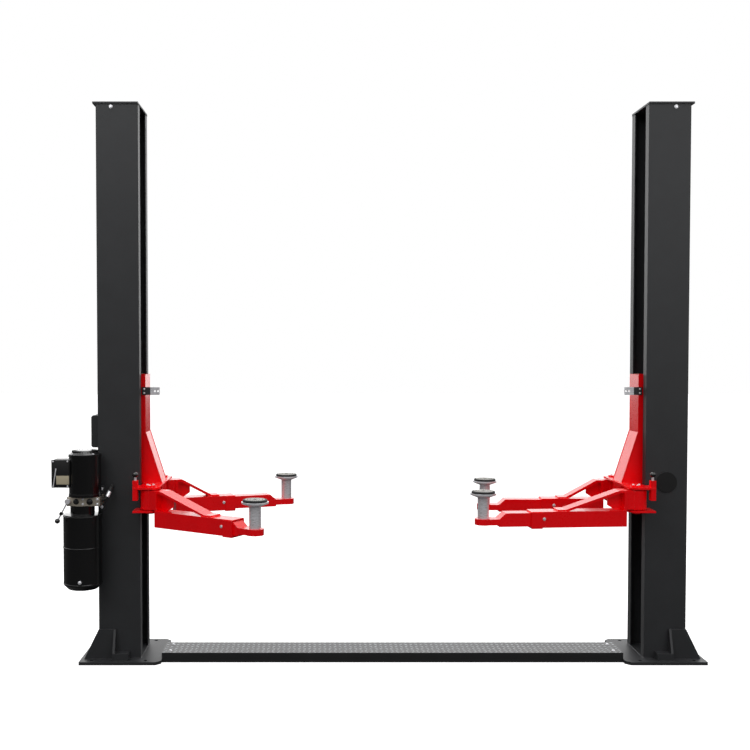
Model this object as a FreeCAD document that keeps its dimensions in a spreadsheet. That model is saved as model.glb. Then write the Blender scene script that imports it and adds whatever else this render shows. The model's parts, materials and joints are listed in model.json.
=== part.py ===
import FreeCAD, Part

import os
import re

import Sketcher

# A two post car lift with a floor cover between its feet. Millimetres, Z up, X from the main
# post towards the other one, Y away from the viewer. The origin is the centre of the main
# post's anchor pattern, on the floor. The moving pieces stand at the height and angles in
# which the lift is seen at rest.

doc = FreeCAD.newDocument("two_post_lift")
sheet = doc.addObject("Spreadsheet::Sheet", "Sizes")

# Posts, caps and feet
post_sizes = {
    "span": 2775,
    "post_high": 2820,
    "post_wide": 212,
    "post_deep": 280,
    "post_wall": 6,
    "post_lip": 50,
    "cap_thick": 10,
    "cap_outer_lap": 16,
    "cap_side_lap": 5,
    "foot_thick": 16,
    "foot_outer": 196,
    "foot_inner": 215,
    "foot_half": 210,
    "foot_cut": 26,
    "anchor_across": 135,
    "anchor_along": 180,
    "anchor_hole": 10,
    "gusset_thick": 12,
    "gusset_high": 150,
    "gusset_inset": 16,
    "gusset_reach": 50,
    "gusset_edge": 30,
    "block_wide": 80,
    "block_high": 36,
}

# Cover over the cables between the feet
cover_sizes = {
    "cover_front": 160,
    "cover_back": 30,
    "cover_high": 49,
    "cover_wall": 4,
    "seat_gap": 0.3,
}

# Lifting cylinders inside the posts
cylinder_sizes = {
    "cylinder_x": -40,
    "barrel_radius": 34,
    "barrel_high": 1164,
    "gland_radius": 38,
    "gland_high": 40,
    "bore_floor": 60,
    "rod_radius": 22,
    "rod_low": 400,
    "rod_high": 1515,
    "yoke_wide": 64,
    "yoke_deep": 84,
    "yoke_plate": 16,
    "yoke_high": 110,
    "yoke_ear": 12,
    "roller_radius": 38,
    "roller_half": 26,
    "roller_pin": 12,
}

# Carriages: a channel in the post's slot, a sloping nose and a fork for the arms
carriage_sizes = {
    "channel_half": 75,
    "channel_back": 20,
    "channel_front": 126,
    "channel_wall": 8,
    "channel_top": 1460,
    "nose_top": 1163,
    "nose_front": 209,
    "fork_low": 777,
    "fork_high": 902,
    "fork_plate": 10,
    "fork_half": 256,
    "fork_front": 218,
    "fork_back": 112,
    "fork_cut": 30,
    "fork_web": 138,
    "ear_inner": 150,
    "ear_back": 88,
    "wing_back": 62,
    "wing_half": 128,
    "slider_gap": 0.3,
    "slider_wide": 37,
    "slider_high": 90,
    "pivot_in": 168,
    "pivot_across": 200,
    "pin_radius": 20,
    "pin_head": 30,
    "pin_head_high": 8,
    "pin_tail": 10,
    "fit": 0.05,
}

# Latch housings with their pull pins, and the strap on the channel
latch_sizes = {
    "latch_low": 838,
    "latch_high": 937,
    "latch_from": 220,
    "latch_to": 255,
    "latch_wide": 24,
    "latch_pin": 6,
    "latch_pin_low": 845,
    "ball_radius": 14,
    "ball_high": 966,
    "strap_low": 1356,
    "strap_high": 1396,
    "strap_from": 109,
    "strap_to": 170,
    "strap_thick": 6,
    "striker_from": 152,
    "striker_to": 200,
    "striker_thick": 4,
    "striker_hole": 5,
}

# Arms: fixed tubes on the pivots, with a strut over each
arm_sizes = {
    "run_gap": 5,
    "knuckle_radius": 48,
    "neck_half": 40,
    "heel_from": 66,
    "heel_thick": 12,
    "tube_half": 45,
    "tube_low": 708,
    "tube_high": 788,
    "tube_wall": 6,
    "collar_long": 55,
    "collar_thick": 4,
    "strut_half": 38,
    "strut_thick": 13,
    "strut_knee": 102,
    "strut_foot": 55,
    "front_strut": 415,
    "rear_strut": 307,
    "strut_foot_high": 8,
    "web_half": 5,
    "web_foot": 115,
    "web_long": 151,
    "web_high": 811,
    "web_weld": 4,
    "front_tube": 550,
    "rear_tube": 395,
}

# Sliding inner tubes with a round-ended plate for the screw pads
slide_sizes = {
    "slide_gap": 0.3,
    "slide_wall": 5,
    "front_slide": 450,
    "rear_slide": 310,
    "bevel_run": 34,
    "nose_plate_low": 722,
    "nose_plate_high": 752,
    "nose_plate_half": 36,
    "nose_plate_lap": 40,
    "pad_out": 72,
    "pad_boss": 42,
    "sleeve_radius": 28,
    "sleeve_high": 103,
    "stem_radius": 20,
    "stem_low": 725,
    "dish_low": 858,
    "dish_neck": 34,
    "dish_radius": 64,
    "dish_rim": 8,
    "dish_high": 20,
    "rubber_radius": 58,
    "rubber_high": 12,
    "rubber_bevel": 5,
}

# How the arms stand at rest: swing from straight across, and how far each slide is out
rest_sizes = {
    "left_front_swing": 32.8,
    "left_rear_swing": 19.3,
    "right_front_swing": 4.7,
    "right_rear_swing": 1.5,
    "left_front_out": 28,
    "left_rear_out": 236,
    "right_front_out": 160,
    "right_rear_out": 228,
}

# Power unit on the main post, the latch cover above it and the plug in the other post
unit_sizes = {
    "motor_x": -154,
    "tank_x": -168,
    "unit_y": -216,
    "bracket_thick": 12,
    "bracket_outer": 100,
    "bracket_inner": 72,
    "bracket_low": 776,
    "bracket_high": 900,
    "manifold_low": 813,
    "manifold_high": 857,
    "manifold_outer": 235,
    "manifold_half": 50,
    "motor_radius": 79,
    "motor_high": 218,
    "motor_cap_high": 12,
    "motor_rim": 10,
    "box_outer": 308,
    "box_low": 907,
    "box_high": 1040,
    "box_half": 46,
    "tank_radius": 95,
    "tank_low": 395,
    "tank_high": 768,
    "tank_round": 22,
    "tank_neck": 60,
    "tank_band": 3,
    "tank_band_high": 604,
    "lever_x": -228,
    "lever_high": 838,
    "lever_hub": 13,
    "lever_hub_deep": 22,
    "lever_long": 110,
    "lever_rod": 4,
    "lever_lean": 28,
    "knob_radius": 12,
    "hatch_low": 1085,
    "hatch_high": 1250,
    "hatch_deep": 50,
    "hatch_half": 62,
    "hatch_bevel": 8,
    "port_high": 915,
    "port_radius": 47,
    "plug_lap": 6,
    "plug_thick": 4,
}

tables = [
    post_sizes, cover_sizes, cylinder_sizes, carriage_sizes, latch_sizes, arm_sizes, slide_sizes,
    rest_sizes, unit_sizes,
]
row = 0
for table in tables:
    for name, size in table.items():
        row += 1
        sheet.set(f"A{row}", name)
        sheet.set(f"B{row}", str(size))
        sheet.setAlias(f"B{row}", name)
doc.recompute()

word = re.compile(r"\b[a-z][a-z_]+\b")
functions = {"sin", "cos", "tan", "sqrt"}


def named(text):
    """The same expression with every size pointing into the sheet."""
    def swap(found):
        name = found.group(0)
        return name if name in functions else "Sizes." + name
    return word.sub(swap, str(text))


def value(text):
    """The present value of an expression of named sizes."""
    return float(sheet.evalExpression(named(text)))


def bind(thing, prop, text):
    """Tie one property of an object to an expression of named sizes."""
    thing.setExpression(prop, named(text))


def stand(thing, low):
    """Tie the place of an object's corner or centre to three expressions."""
    for letter, text in zip("xyz", low):
        bind(thing, "Placement.Base." + letter, text)


def box(name, low, high):
    """A block between two corners."""
    made = doc.addObject("Part::Box", name)
    for prop, start, end in zip(("Length", "Width", "Height"), low, high):
        bind(made, prop, f"({end}) - ({start})")
    stand(made, low)
    return made


def rod(name, low, radius, high, along="z"):
    """A round bar of one radius from its lower centre, along an axis."""
    made = doc.addObject("Part::Cylinder", name)
    turn = {"z": (0, 0, 1), "y": (0, 1, 0), "x": (1, 0, 0)}[along]
    made.Placement.Rotation = FreeCAD.Rotation(FreeCAD.Vector(0, 0, 1), FreeCAD.Vector(*turn))
    bind(made, "Radius", radius)
    bind(made, "Height", high)
    stand(made, low)
    return made


# Which axes a flat outline uses when it is drawn across X, Y or Z
outline_turns = {
    "x": FreeCAD.Rotation(FreeCAD.Vector(0, 1, 0), FreeCAD.Vector(0, 0, 1), FreeCAD.Vector(1, 0, 0)),
    "y": FreeCAD.Rotation(FreeCAD.Vector(1, 0, 0), FreeCAD.Vector(0, 0, 1), FreeCAD.Vector(0, -1, 0)),
    "z": FreeCAD.Rotation(),
}


def outline(name, points, across):
    """A closed sketch whose corners are tied to expressions of named sizes."""
    sketch = doc.addObject("Sketcher::SketchObject", name)
    sketch.Placement.Rotation = outline_turns[across]
    corners = [FreeCAD.Vector(value(x), value(y), 0) for x, y in points]
    count = len(corners)
    for i in range(count):
        sketch.addGeometry(Part.LineSegment(corners[i], corners[(i + 1) % count]), False)
    for i in range(count):
        sketch.addConstraint(Sketcher.Constraint("Coincident", i, 2, (i + 1) % count, 1))
    for i, (x, y) in enumerate(points):
        for kind, text, now in (("DistanceX", x, corners[i].x), ("DistanceY", y, corners[i].y)):
            place = sketch.addConstraint(Sketcher.Constraint(kind, -1, 1, i, 1, now))
            bind(sketch, f"Constraints[{place}]", text)
    return sketch


def prism(name, points, across, low, high):
    """A flat outline given thickness between two stations on the axis that it lies across."""
    sketch = outline(name + "_outline", points, across)
    bind(sketch, "Placement.Base." + across, low)
    made = doc.addObject("Part::Extrusion", name)
    made.Base = sketch
    made.DirMode = "Custom"
    made.Dir = FreeCAD.Vector(*[1.0 if across == axis else 0.0 for axis in "xyz"])
    bind(made, "LengthFwd", f"({high}) - ({low})")
    made.Solid = True
    return made


def turned(name, points, centre):
    """A half outline, radius against height, turned about an axis through the centre."""
    sketch = outline(name + "_half", points, "y")
    made = doc.addObject("Part::Revolution", name)
    made.Source = sketch
    made.Axis = FreeCAD.Vector(0, 0, 1)
    made.Base = FreeCAD.Vector(0, 0, 0)
    made.Angle = 360
    made.Solid = True
    stand(made, (*centre, "0")[:3])
    return made


def knobbed(low, high, thick, knob):
    """The half outline of a thin bar that ends in a rounded knob."""
    return [
        ("0", low),
        (thick, low),
        (thick, f"{high} - 0.85 * {knob}"),
        (f"0.75 * {knob}", f"{high} - 0.65 * {knob}"),
        (knob, f"{high} - 0.25 * {knob}"),
        (knob, f"{high} + 0.25 * {knob}"),
        (f"0.75 * {knob}", f"{high} + 0.65 * {knob}"),
        ("0", f"{high} + 0.85 * {knob}"),
    ]


def fused(name, pieces):
    """Pieces welded into one."""
    made = doc.addObject("Part::MultiFuse", name)
    made.Shapes = pieces
    made.Refine = True
    return made


def cut(name, base, tools):
    """A piece with the tools taken out of it."""
    tool = tools[0] if len(tools) == 1 else fused(name + "_tools", tools)
    made = doc.addObject("Part::Cut", name)
    made.Base = base
    made.Tool = tool
    made.Refine = True
    return made


def apart(name, pieces):
    """Like pieces that don't touch, kept as separate solids."""
    made = doc.addObject("Part::Compound", name)
    made.Links = pieces
    return made


def mirrored(name, source, normal=(1, 0, 0)):
    """The same piece on the other post, or on the far side of its own."""
    made = doc.addObject("Part::Mirroring", name)
    made.Source = source
    made.Normal = FreeCAD.Vector(*normal)
    if normal[0]:
        bind(made, "Base.x", "span / 2")
    return made


subparts = []


def subpart(label, made):
    """Keep an object as one named piece of the lift."""
    made.Label = label
    subparts.append(made)
    return made


def both_posts(label, build):
    """One piece on the main post and its mirror image on the other."""
    left = build("left_" + label)
    subpart("left_" + label, left)
    return subpart("right_" + label, mirrored("right_" + label, left))


# Posts and feet

def post(name):
    """The folded channel of a post, open towards the other post."""
    half_wide, half_deep = "post_wide / 2", "post_deep / 2"
    slot = f"{half_deep} - post_lip"
    points = [
        (f"-{half_wide}", f"-{half_deep}"),
        (half_wide, f"-{half_deep}"),
        (half_wide, f"-({slot})"),
        (f"{half_wide} - post_wall", f"-({slot})"),
        (f"{half_wide} - post_wall", f"-{half_deep} + post_wall"),
        (f"-{half_wide} + post_wall", f"-{half_deep} + post_wall"),
        (f"-{half_wide} + post_wall", f"{half_deep} - post_wall"),
        (f"{half_wide} - post_wall", f"{half_deep} - post_wall"),
        (f"{half_wide} - post_wall", slot),
        (half_wide, slot),
        (half_wide, half_deep),
        (f"-{half_wide}", half_deep),
    ]
    return prism(name, points, "z", "foot_thick", "post_high")


def cap(name):
    """The flat plate that closes the top of a post."""
    return box(
        name,
        ("-post_wide / 2 - cap_outer_lap", "-post_deep / 2 - cap_side_lap", "post_high"),
        ("post_wide / 2", "post_deep / 2 + cap_side_lap", "post_high + cap_thick"),
    )


def front_stiffener(name):
    """Gusset plate, rib and low block that brace the post's near side on its foot."""
    face = "post_deep / 2"
    top = "foot_thick + gusset_high"
    outer = "post_wide / 2"
    plate = prism(name + "_plate", [
        ("-foot_outer + gusset_inset", "foot_thick"),
        ("-gusset_edge", "foot_thick"),
        ("-gusset_edge", top),
        (f"-{outer}", top),
    ], "y", f"-{face} - gusset_thick", f"-{face}")
    rib = prism(name + "_rib", [
        (f"-{face}", "foot_thick"),
        (f"-{face}", top),
        (f"-{face} - gusset_thick", top),
        (f"-{face} - gusset_reach", "foot_thick + block_high"),
        (f"-{face} - gusset_reach", "foot_thick"),
    ], "x", "-gusset_edge", "-gusset_edge + gusset_thick")
    block = box(
        name + "_block",
        ("-gusset_edge", f"-{face} - gusset_reach", "foot_thick"),
        ("-gusset_edge + block_wide", f"-{face}", "foot_thick + block_high"),
    )
    return fused(name, [plate, rib, block])


def foot(name):
    """The anchored foot plate with its stiffeners welded on, front and rear."""
    points = [
        ("-foot_outer", "-foot_half"),
        ("foot_inner - foot_cut", "-foot_half"),
        ("foot_inner", "-foot_half + foot_cut"),
        ("foot_inner", "foot_half - foot_cut"),
        ("foot_inner - foot_cut", "foot_half"),
        ("-foot_outer", "foot_half"),
    ]
    plate = prism(name + "_plate", points, "z", "0", "foot_thick")
    stiffener = front_stiffener(name + "_front")
    behind = mirrored(name + "_behind", stiffener, (0, 1, 0))
    holes = [
        rod(f"{name}_hole_{x_sign}_{y_sign}".replace("-", "m"),
            (f"{x_sign} * anchor_across", f"{y_sign} * anchor_along", "-1"),
            "anchor_hole", "foot_thick + 2")
        for x_sign in (-1, 1) for y_sign in (-1, 1)
    ]
    return cut(name, fused(name + "_weldment", [plate, stiffener, behind]), holes)


def floor_cover():
    """The folded tread plate over the cables, open below and at both ends."""
    points = [
        ("-cover_front", "0"),
        ("-cover_front", "cover_high"),
        ("cover_back", "cover_high"),
        ("cover_back", "0"),
        ("cover_back - cover_wall", "0"),
        ("cover_back - cover_wall", "cover_high - cover_wall"),
        ("-cover_front + cover_wall", "cover_high - cover_wall"),
        ("-cover_front + cover_wall", "0"),
    ]
    return prism("floor_cover", points, "x", "foot_inner + seat_gap", "span - foot_inner - seat_gap")


def access_port(name, post_piece):
    """The round service hole through the near side of the second post."""
    hole = rod(name + "_hole", ("span", "-post_deep / 2 - 1", "port_high"), "port_radius", "post_wall + 2", "y")
    return cut(name, post_piece, [hole])


def port_plug():
    """The press-in plug of the service hole: a thin flange with a boss in the hole."""
    face = "-post_deep / 2"
    flange = rod("plug_flange", ("span", f"{face} - plug_thick", "port_high"),
                 "port_radius + plug_lap", "plug_thick", "y")
    boss = rod("plug_boss", ("span", face, "port_high"), "port_radius - seat_gap", "post_wall", "y")
    return fused("port_plug", [flange, boss])


subpart("left_post", post("left_post"))
right_post = mirrored("right_post_blank", doc.getObject("left_post"))
subpart("right_post", access_port("right_post", right_post))
both_posts("cap", cap)
both_posts("foot", foot)
subpart("floor_cover", floor_cover())
subpart("port_plug", port_plug())


# Lifting cylinders

def barrel(name):
    """The bored cylinder that stands on the foot inside a post."""
    tube = rod(name + "_tube", ("cylinder_x", "0", "foot_thick"), "barrel_radius", "barrel_high")
    gland = rod(name + "_gland", ("cylinder_x", "0", "foot_thick + barrel_high - gland_high"),
                "gland_radius", "gland_high")
    hole = rod(name + "_hole", ("cylinder_x", "0", "bore_floor"), "rod_radius + fit",
               "foot_thick + barrel_high - bore_floor + 1")
    return cut(name, fused(name + "_body", [tube, gland]), [hole])


def piston_rod(name):
    """The rod with the yoke and chain roller on its head."""
    bar = rod(name + "_bar", ("cylinder_x", "0", "rod_low"), "rod_radius", "rod_high - rod_low")
    plate = box(
        name + "_plate",
        ("cylinder_x - yoke_wide / 2", "-yoke_deep / 2", "rod_high"),
        ("cylinder_x + yoke_wide / 2", "yoke_deep / 2", "rod_high + yoke_plate"),
    )
    pieces = [bar, plate]
    for side, sign in (("near", "-"), ("far", "")):
        start = f"{sign}(yoke_deep / 2)" if sign else "yoke_deep / 2 - yoke_ear"
        end = f"{sign}(yoke_deep / 2 - yoke_ear)" if sign else "yoke_deep / 2"
        pieces.append(box(
            f"{name}_{side}_ear",
            ("cylinder_x - yoke_wide / 2", start, "rod_high + yoke_plate"),
            ("cylinder_x + yoke_wide / 2", end, "rod_high + yoke_high"),
        ))
    centre = "rod_high + yoke_plate + roller_radius + 4"
    pieces.append(rod(name + "_roller", ("cylinder_x", "-roller_half", centre),
                      "roller_radius", "2 * roller_half", "y"))
    pieces.append(rod(name + "_axle", ("cylinder_x", "-yoke_deep / 2", centre),
                      "roller_pin", "yoke_deep", "y"))
    return fused(name, pieces)


both_posts("cylinder", barrel)
both_posts("piston_rod", piston_rod)


# Carriages

def carriage(name):
    """Channel, sloping nose, fork plates and latch housings, welded into one."""
    inner = "channel_half - channel_wall"
    channel = prism(name + "_channel", [
        ("channel_back", "-channel_half"),
        ("channel_front", "-channel_half"),
        ("channel_front", "channel_half"),
        ("channel_back", "channel_half"),
        ("channel_back", inner),
        ("channel_front - channel_wall", inner),
        ("channel_front - channel_wall", f"-({inner})"),
        ("channel_back", f"-({inner})"),
    ], "z", "fork_low", "channel_top")
    cheek_points = [
        ("channel_front - channel_wall", "nose_top"),
        ("channel_front", "nose_top"),
        ("nose_front", "fork_high"),
        ("nose_front", "fork_low"),
        ("channel_front - channel_wall", "fork_low"),
    ]
    near_cheek = prism(name + "_near_cheek", cheek_points, "y", "-channel_half", f"-({inner})")
    far_cheek = prism(name + "_far_cheek", cheek_points, "y", inner, "channel_half")
    slope = prism(name + "_slope", [
        ("channel_front - channel_wall", "nose_top"),
        ("channel_front", "nose_top"),
        ("nose_front", "fork_high"),
        ("nose_front", "fork_low"),
        ("nose_front - channel_wall", "fork_low"),
        ("nose_front - channel_wall", "fork_high - channel_wall"),
    ], "y", "-channel_half", "channel_half")
    pieces = [channel, near_cheek, far_cheek, slope]
    fork_points = [
        ("ear_back", "-fork_half"),
        ("fork_front - fork_cut", "-fork_half"),
        ("fork_front", "-fork_half + fork_cut"),
        ("fork_front", "fork_half - fork_cut"),
        ("fork_front - fork_cut", "fork_half"),
        ("ear_back", "fork_half"),
        ("ear_back", "ear_inner"),
        ("fork_back", "ear_inner"),
        ("fork_back", "-ear_inner"),
        ("ear_back", "-ear_inner"),
    ]
    for label, low in (("upper", "fork_high - fork_plate"), ("lower", "fork_low")):
        pieces.append(prism(f"{name}_{label}_fork", fork_points, "z", low, f"{low} + fork_plate"))
    for label, sign in (("near", -1), ("far", 1)):
        low = "fork_web - channel_wall" if sign > 0 else "-fork_web"
        wing_low = "channel_half" if sign > 0 else "-wing_half"
        latch_low = "latch_from" if sign > 0 else "-latch_to"
        pieces.append(box(
            f"{name}_{label}_web",
            ("fork_back", low, "fork_low"),
            ("nose_front", f"{low} + channel_wall", "fork_high"),
        ))
        pieces.append(box(
            f"{name}_{label}_wing",
            ("wing_back", wing_low, "fork_low"),
            ("wing_back + channel_wall", f"{wing_low} + wing_half - channel_half", "channel_top"),
        ))
        pieces.append(box(
            f"{name}_{label}_latch",
            ("ear_back", latch_low, "latch_low"),
            ("ear_back + latch_wide", f"{latch_low} + latch_to - latch_from", "latch_high"),
        ))
    holes = []
    for label, sign in (("near", -1), ("far", 1)):
        holes.append(rod(f"{name}_{label}_pivot", ("pivot_in", f"{sign} * pivot_across", "fork_low - 1"),
                         "pin_radius + fit", "fork_high - fork_low + 2"))
        holes.append(rod(f"{name}_{label}_bore",
                         ("ear_back + latch_wide / 2", f"{sign} * (latch_from + latch_to) / 2", "latch_low - 1"),
                         "latch_pin + fit", "latch_high - latch_low + 2"))
    return cut(name, fused(name + "_weldment", pieces), holes)


def sliders(name):
    """The four guide blocks between the carriage's wings and the post's lips."""
    pieces = []
    lip_face = "post_wide / 2 - post_wall - slider_gap"
    wall_face = "post_deep / 2 - post_wall - slider_gap"
    for level, low in (("low", "fork_low"), ("high", "channel_top - slider_high")):
        for label, sign in (("near", -1), ("far", 1)):
            start = f"{wall_face} - slider_wide" if sign > 0 else f"-({wall_face})"
            pieces.append(box(
                f"{name}_{level}_{label}",
                ("wing_back + channel_wall", start, low),
                (lip_face, f"{start} + slider_wide", f"{low} + slider_high"),
            ))
    return apart(name, pieces)


def pivot_pins(name):
    """The two headed pins on which the arms swing."""
    pieces = []
    for label, sign in (("near", -1), ("far", 1)):
        shank = rod(f"{name}_{label}_shank", ("pivot_in", f"{sign} * pivot_across", "fork_low - pin_tail"),
                    "pin_radius", "fork_high - fork_low + pin_tail")
        head = rod(f"{name}_{label}_head", ("pivot_in", f"{sign} * pivot_across", "fork_high"),
                   "pin_head", "pin_head_high")
        pieces.append(fused(f"{name}_{label}", [shank, head]))
    return apart(name, pieces)


def strap(name):
    """The dark strap bolted to the channel's near cheek."""
    return box(
        name,
        ("strap_from", "-channel_half - strap_thick", "strap_low"),
        ("strap_to", "-channel_half", "strap_high"),
    )


def striker(name):
    """The plated striker on the strap's end, with its two holes."""
    face = "-channel_half - strap_thick"
    plate = box(
        name + "_plate",
        ("striker_from", f"{face} - striker_thick", "strap_low"),
        ("striker_to", face, "strap_high"),
    )
    middle = "(strap_low + strap_high) / 2"
    holes = [
        rod(f"{name}_hole_{i}", (x, f"{face} - striker_thick - 1", middle), "striker_hole",
            "striker_thick + 2", "y")
        for i, x in enumerate(("striker_to - 8", "strap_to + 6"))
    ]
    return cut(name, plate, holes)


def latch_pin(name, sign):
    """A pull pin with its knob, standing in a latch housing."""
    centre = ("ear_back + latch_wide / 2", f"{sign} * (latch_from + latch_to) / 2")
    return turned(name, knobbed("latch_pin_low", "ball_high", "latch_pin", "ball_radius"), centre)


both_posts("carriage", carriage)
both_posts("sliders", sliders)
both_posts("pivot_pins", pivot_pins)
both_posts("strap", strap)
both_posts("striker", striker)
both_posts("front_latch_pin", lambda name: latch_pin(name, -1))
both_posts("rear_latch_pin", lambda name: latch_pin(name, 1))


# Arms, drawn straight out along X from a pivot at X 0, Y 0, and then stood on their pivots

def on_pivot(made, side, end):
    """Stand a piece of an arm on its pivot at the arm's angle at rest."""
    sign = "-" if end == "front" else ""
    bind(made, "Placement.Base.x", "pivot_in" if side == "left" else "span - pivot_in")
    bind(made, "Placement.Base.y", f"{sign}pivot_across")
    swing = f"{side}_{end}_swing"
    made.Placement.Rotation = FreeCAD.Rotation(FreeCAD.Vector(0, 0, 1), 1)
    if side == "left":
        bind(made, "Placement.Rotation.Angle", f"{sign}{swing}")
    else:
        bind(made, "Placement.Rotation.Angle", f"180 + {swing}" if end == "front" else f"180 - {swing}")
    return made


def arm(name, tube_end, strut_end):
    """The fixed part of an arm: knuckle, neck, heel, tube with its collar, strut and web."""
    low, high = "fork_low + fork_plate + run_gap", "fork_high - fork_plate - run_gap"
    knuckle = rod(name + "_knuckle", ("0", "0", low), "knuckle_radius", f"({high}) - ({low})")
    neck = box(name + "_neck", ("0", "-neck_half", low), ("heel_from + heel_thick", "neck_half", high))
    heel = box(name + "_heel", ("heel_from", "-tube_half", "tube_low"),
               ("heel_from + heel_thick", "tube_half", high))
    tube = box(name + "_tube", ("heel_from", "-tube_half", "tube_low"), (tube_end, "tube_half", "tube_high"))
    collar = box(
        name + "_collar",
        (f"{tube_end} - collar_long", "-tube_half - collar_thick", "tube_low - collar_thick"),
        (tube_end, "tube_half + collar_thick", "tube_high - collar_thick"),
    )
    strut = prism(name + "_strut", [
        ("heel_from", high),
        ("strut_knee", high),
        (f"{strut_end} - strut_foot + strut_thick", "tube_high + strut_foot_high"),
        (strut_end, "tube_high + strut_foot_high"),
        (strut_end, "tube_high"),
        (f"{strut_end} - strut_foot", "tube_high"),
        ("strut_knee - strut_thick / 2", f"{high} - strut_thick"),
        ("heel_from", f"{high} - strut_thick"),
    ], "y", "-strut_half", "strut_half")
    under = f"{high} - strut_thick + web_weld"
    run = f"({strut_end} - strut_foot - strut_knee + strut_thick / 2)"
    fall = f"(web_long - strut_knee + strut_thick / 2) * ({high} - strut_thick - tube_high) / {run}"
    web = prism(name + "_web", [
        ("heel_from", "tube_high"),
        ("web_foot", "tube_high"),
        ("web_long", "web_high"),
        ("web_long", f"{under} - {fall}"),
        ("strut_knee - strut_thick / 2", under),
        ("heel_from", under),
    ], "y", "-web_half", "web_half")
    hollow = box(
        name + "_hollow",
        ("heel_from + heel_thick", "-tube_half + tube_wall", "tube_low + tube_wall"),
        (f"{tube_end} + 1", "tube_half - tube_wall", "tube_high - tube_wall"),
    )
    bore = rod(name + "_bore", ("0", "0", "fork_low"), "pin_radius + fit", "fork_high - fork_low")
    weldment = fused(name + "_weldment", [knuckle, neck, heel, tube, collar, strut, web])
    return cut(name, weldment, [hollow, bore])


def slide(name, tip, long):
    """The inner tube with its bevelled end and the round-ended plate that takes the pad."""
    half = "tube_half - tube_wall - slide_gap"
    low, high = "tube_low + tube_wall + slide_gap", "tube_high - tube_wall - slide_gap"
    outer = prism(name + "_outer", [
        (f"{tip} - ({long})", low),
        (tip, low),
        (tip, "nose_plate_high"),
        (f"{tip} - bevel_run", high),
        (f"{tip} - ({long})", high),
    ], "y", f"-({half})", half)
    hollow = box(
        name + "_hollow",
        (f"{tip} - ({long}) - 1", f"-({half}) + slide_wall", f"{low} + slide_wall"),
        (f"{tip} - bevel_run - slide_wall", f"{half} - slide_wall", f"{high} - slide_wall"),
    )
    plate = box(
        name + "_plate",
        (f"{tip} - nose_plate_lap", "-nose_plate_half", "nose_plate_low"),
        (f"{tip} + pad_out", "nose_plate_half", "nose_plate_high"),
    )
    boss = rod(name + "_boss", (f"{tip} + pad_out", "0", "nose_plate_low"), "pad_boss",
               "nose_plate_high - nose_plate_low")
    hole = rod(name + "_hole", (f"{tip} + pad_out", "0", "nose_plate_low - 1"), "stem_radius + fit",
               "nose_plate_high - nose_plate_low + 2")
    return cut(name, fused(name + "_body", [cut(name + "_shell", outer, [hollow]), plate, boss]), [hole])


def sleeve(name, tip):
    """The plated sleeve that stands on the end plate round the screw."""
    tube = rod(name + "_tube", (f"{tip} + pad_out", "0", "nose_plate_high"), "sleeve_radius", "sleeve_high")
    hole = rod(name + "_hole", (f"{tip} + pad_out", "0", "nose_plate_high - 1"), "stem_radius + fit",
               "sleeve_high + 2")
    return cut(name, tube, [hole])


def screw_pad(name, tip):
    """The screw with its turned dish, which the rubber sits in."""
    return turned(name, [
        ("0", "stem_low"),
        ("stem_radius", "stem_low"),
        ("stem_radius", "dish_low"),
        ("dish_neck", "dish_low"),
        ("dish_radius", "dish_low + dish_high - dish_rim"),
        ("dish_radius", "dish_low + dish_high"),
        ("rubber_radius + seat_gap", "dish_low + dish_high"),
        ("rubber_radius + seat_gap", "dish_low + dish_high - dish_rim"),
        ("0", "dish_low + dish_high - dish_rim"),
    ], (f"{tip} + pad_out", "0"))


def rubber(name, tip):
    """The round rubber that the car's sill rests on."""
    base = "dish_low + dish_high - dish_rim"
    top = f"{base} + dish_rim + rubber_high"
    return turned(name, [
        ("0", base),
        ("rubber_radius", base),
        ("rubber_radius", f"{top} - rubber_bevel"),
        ("rubber_radius - rubber_bevel", top),
        ("0", top),
    ], (f"{tip} + pad_out", "0"))


for side in ("left", "right"):
    for end in ("front", "rear"):
        name = f"{side}_{end}"
        tip = f"{end}_tube + {name}_out"
        pieces = [
            ("arm", arm(name + "_arm", f"{end}_tube", f"{end}_strut")),
            ("slide", slide(name + "_slide", tip, f"{end}_slide")),
            ("sleeve", sleeve(name + "_sleeve", tip)),
            ("screw_pad", apart(name + "_screw_pad", [screw_pad(name + "_screw_turning", tip)])),
            ("rubber", apart(name + "_rubber", [rubber(name + "_rubber_turning", tip)])),
        ]
        for label, made in pieces:
            subpart(f"{name}_{label}", on_pivot(made, side, end))


# Power unit and covers on the main post

def unit_bracket():
    """The plate that bolts the power unit to the post's near side."""
    face = "post_deep / 2"
    return box(
        "unit_bracket",
        ("-bracket_outer", f"-{face} - bracket_thick", "bracket_low"),
        ("-bracket_inner", f"-{face}", "bracket_high"),
    )


def motor():
    """The round motor shell with its stepped cap."""
    top = "manifold_high + motor_high"
    return turned("motor_shell", [
        ("0", "manifold_high"),
        ("motor_radius", "manifold_high"),
        ("motor_radius", f"{top} - motor_rim"),
        ("motor_radius - motor_rim", top),
        ("motor_radius / 2", f"{top} + motor_cap_high"),
        ("0", f"{top} + motor_cap_high"),
    ], ("motor_x", "unit_y"))


def tank():
    """The round oil tank with its neck and the band where its halves meet."""
    return turned("tank_shell", [
        ("0", "tank_low"),
        ("tank_radius - tank_round", "tank_low"),
        ("tank_radius", "tank_low + tank_round"),
        ("tank_radius", "tank_band_high - tank_band"),
        ("tank_radius + tank_band / 2", "tank_band_high"),
        ("tank_radius", "tank_band_high + tank_band"),
        ("tank_radius", "tank_high"),
        ("tank_neck", "tank_high + tank_band"),
        ("tank_neck", "manifold_low"),
        ("0", "manifold_low"),
    ], ("tank_x", "unit_y"))


def manifold():
    """The cast valve block between motor and tank, which bolts to the bracket."""
    return box(
        "manifold",
        ("-manifold_outer", "unit_y - manifold_half", "manifold_low"),
        ("-bracket_inner", "-post_deep / 2 - bracket_thick", "manifold_high"),
    )


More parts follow.
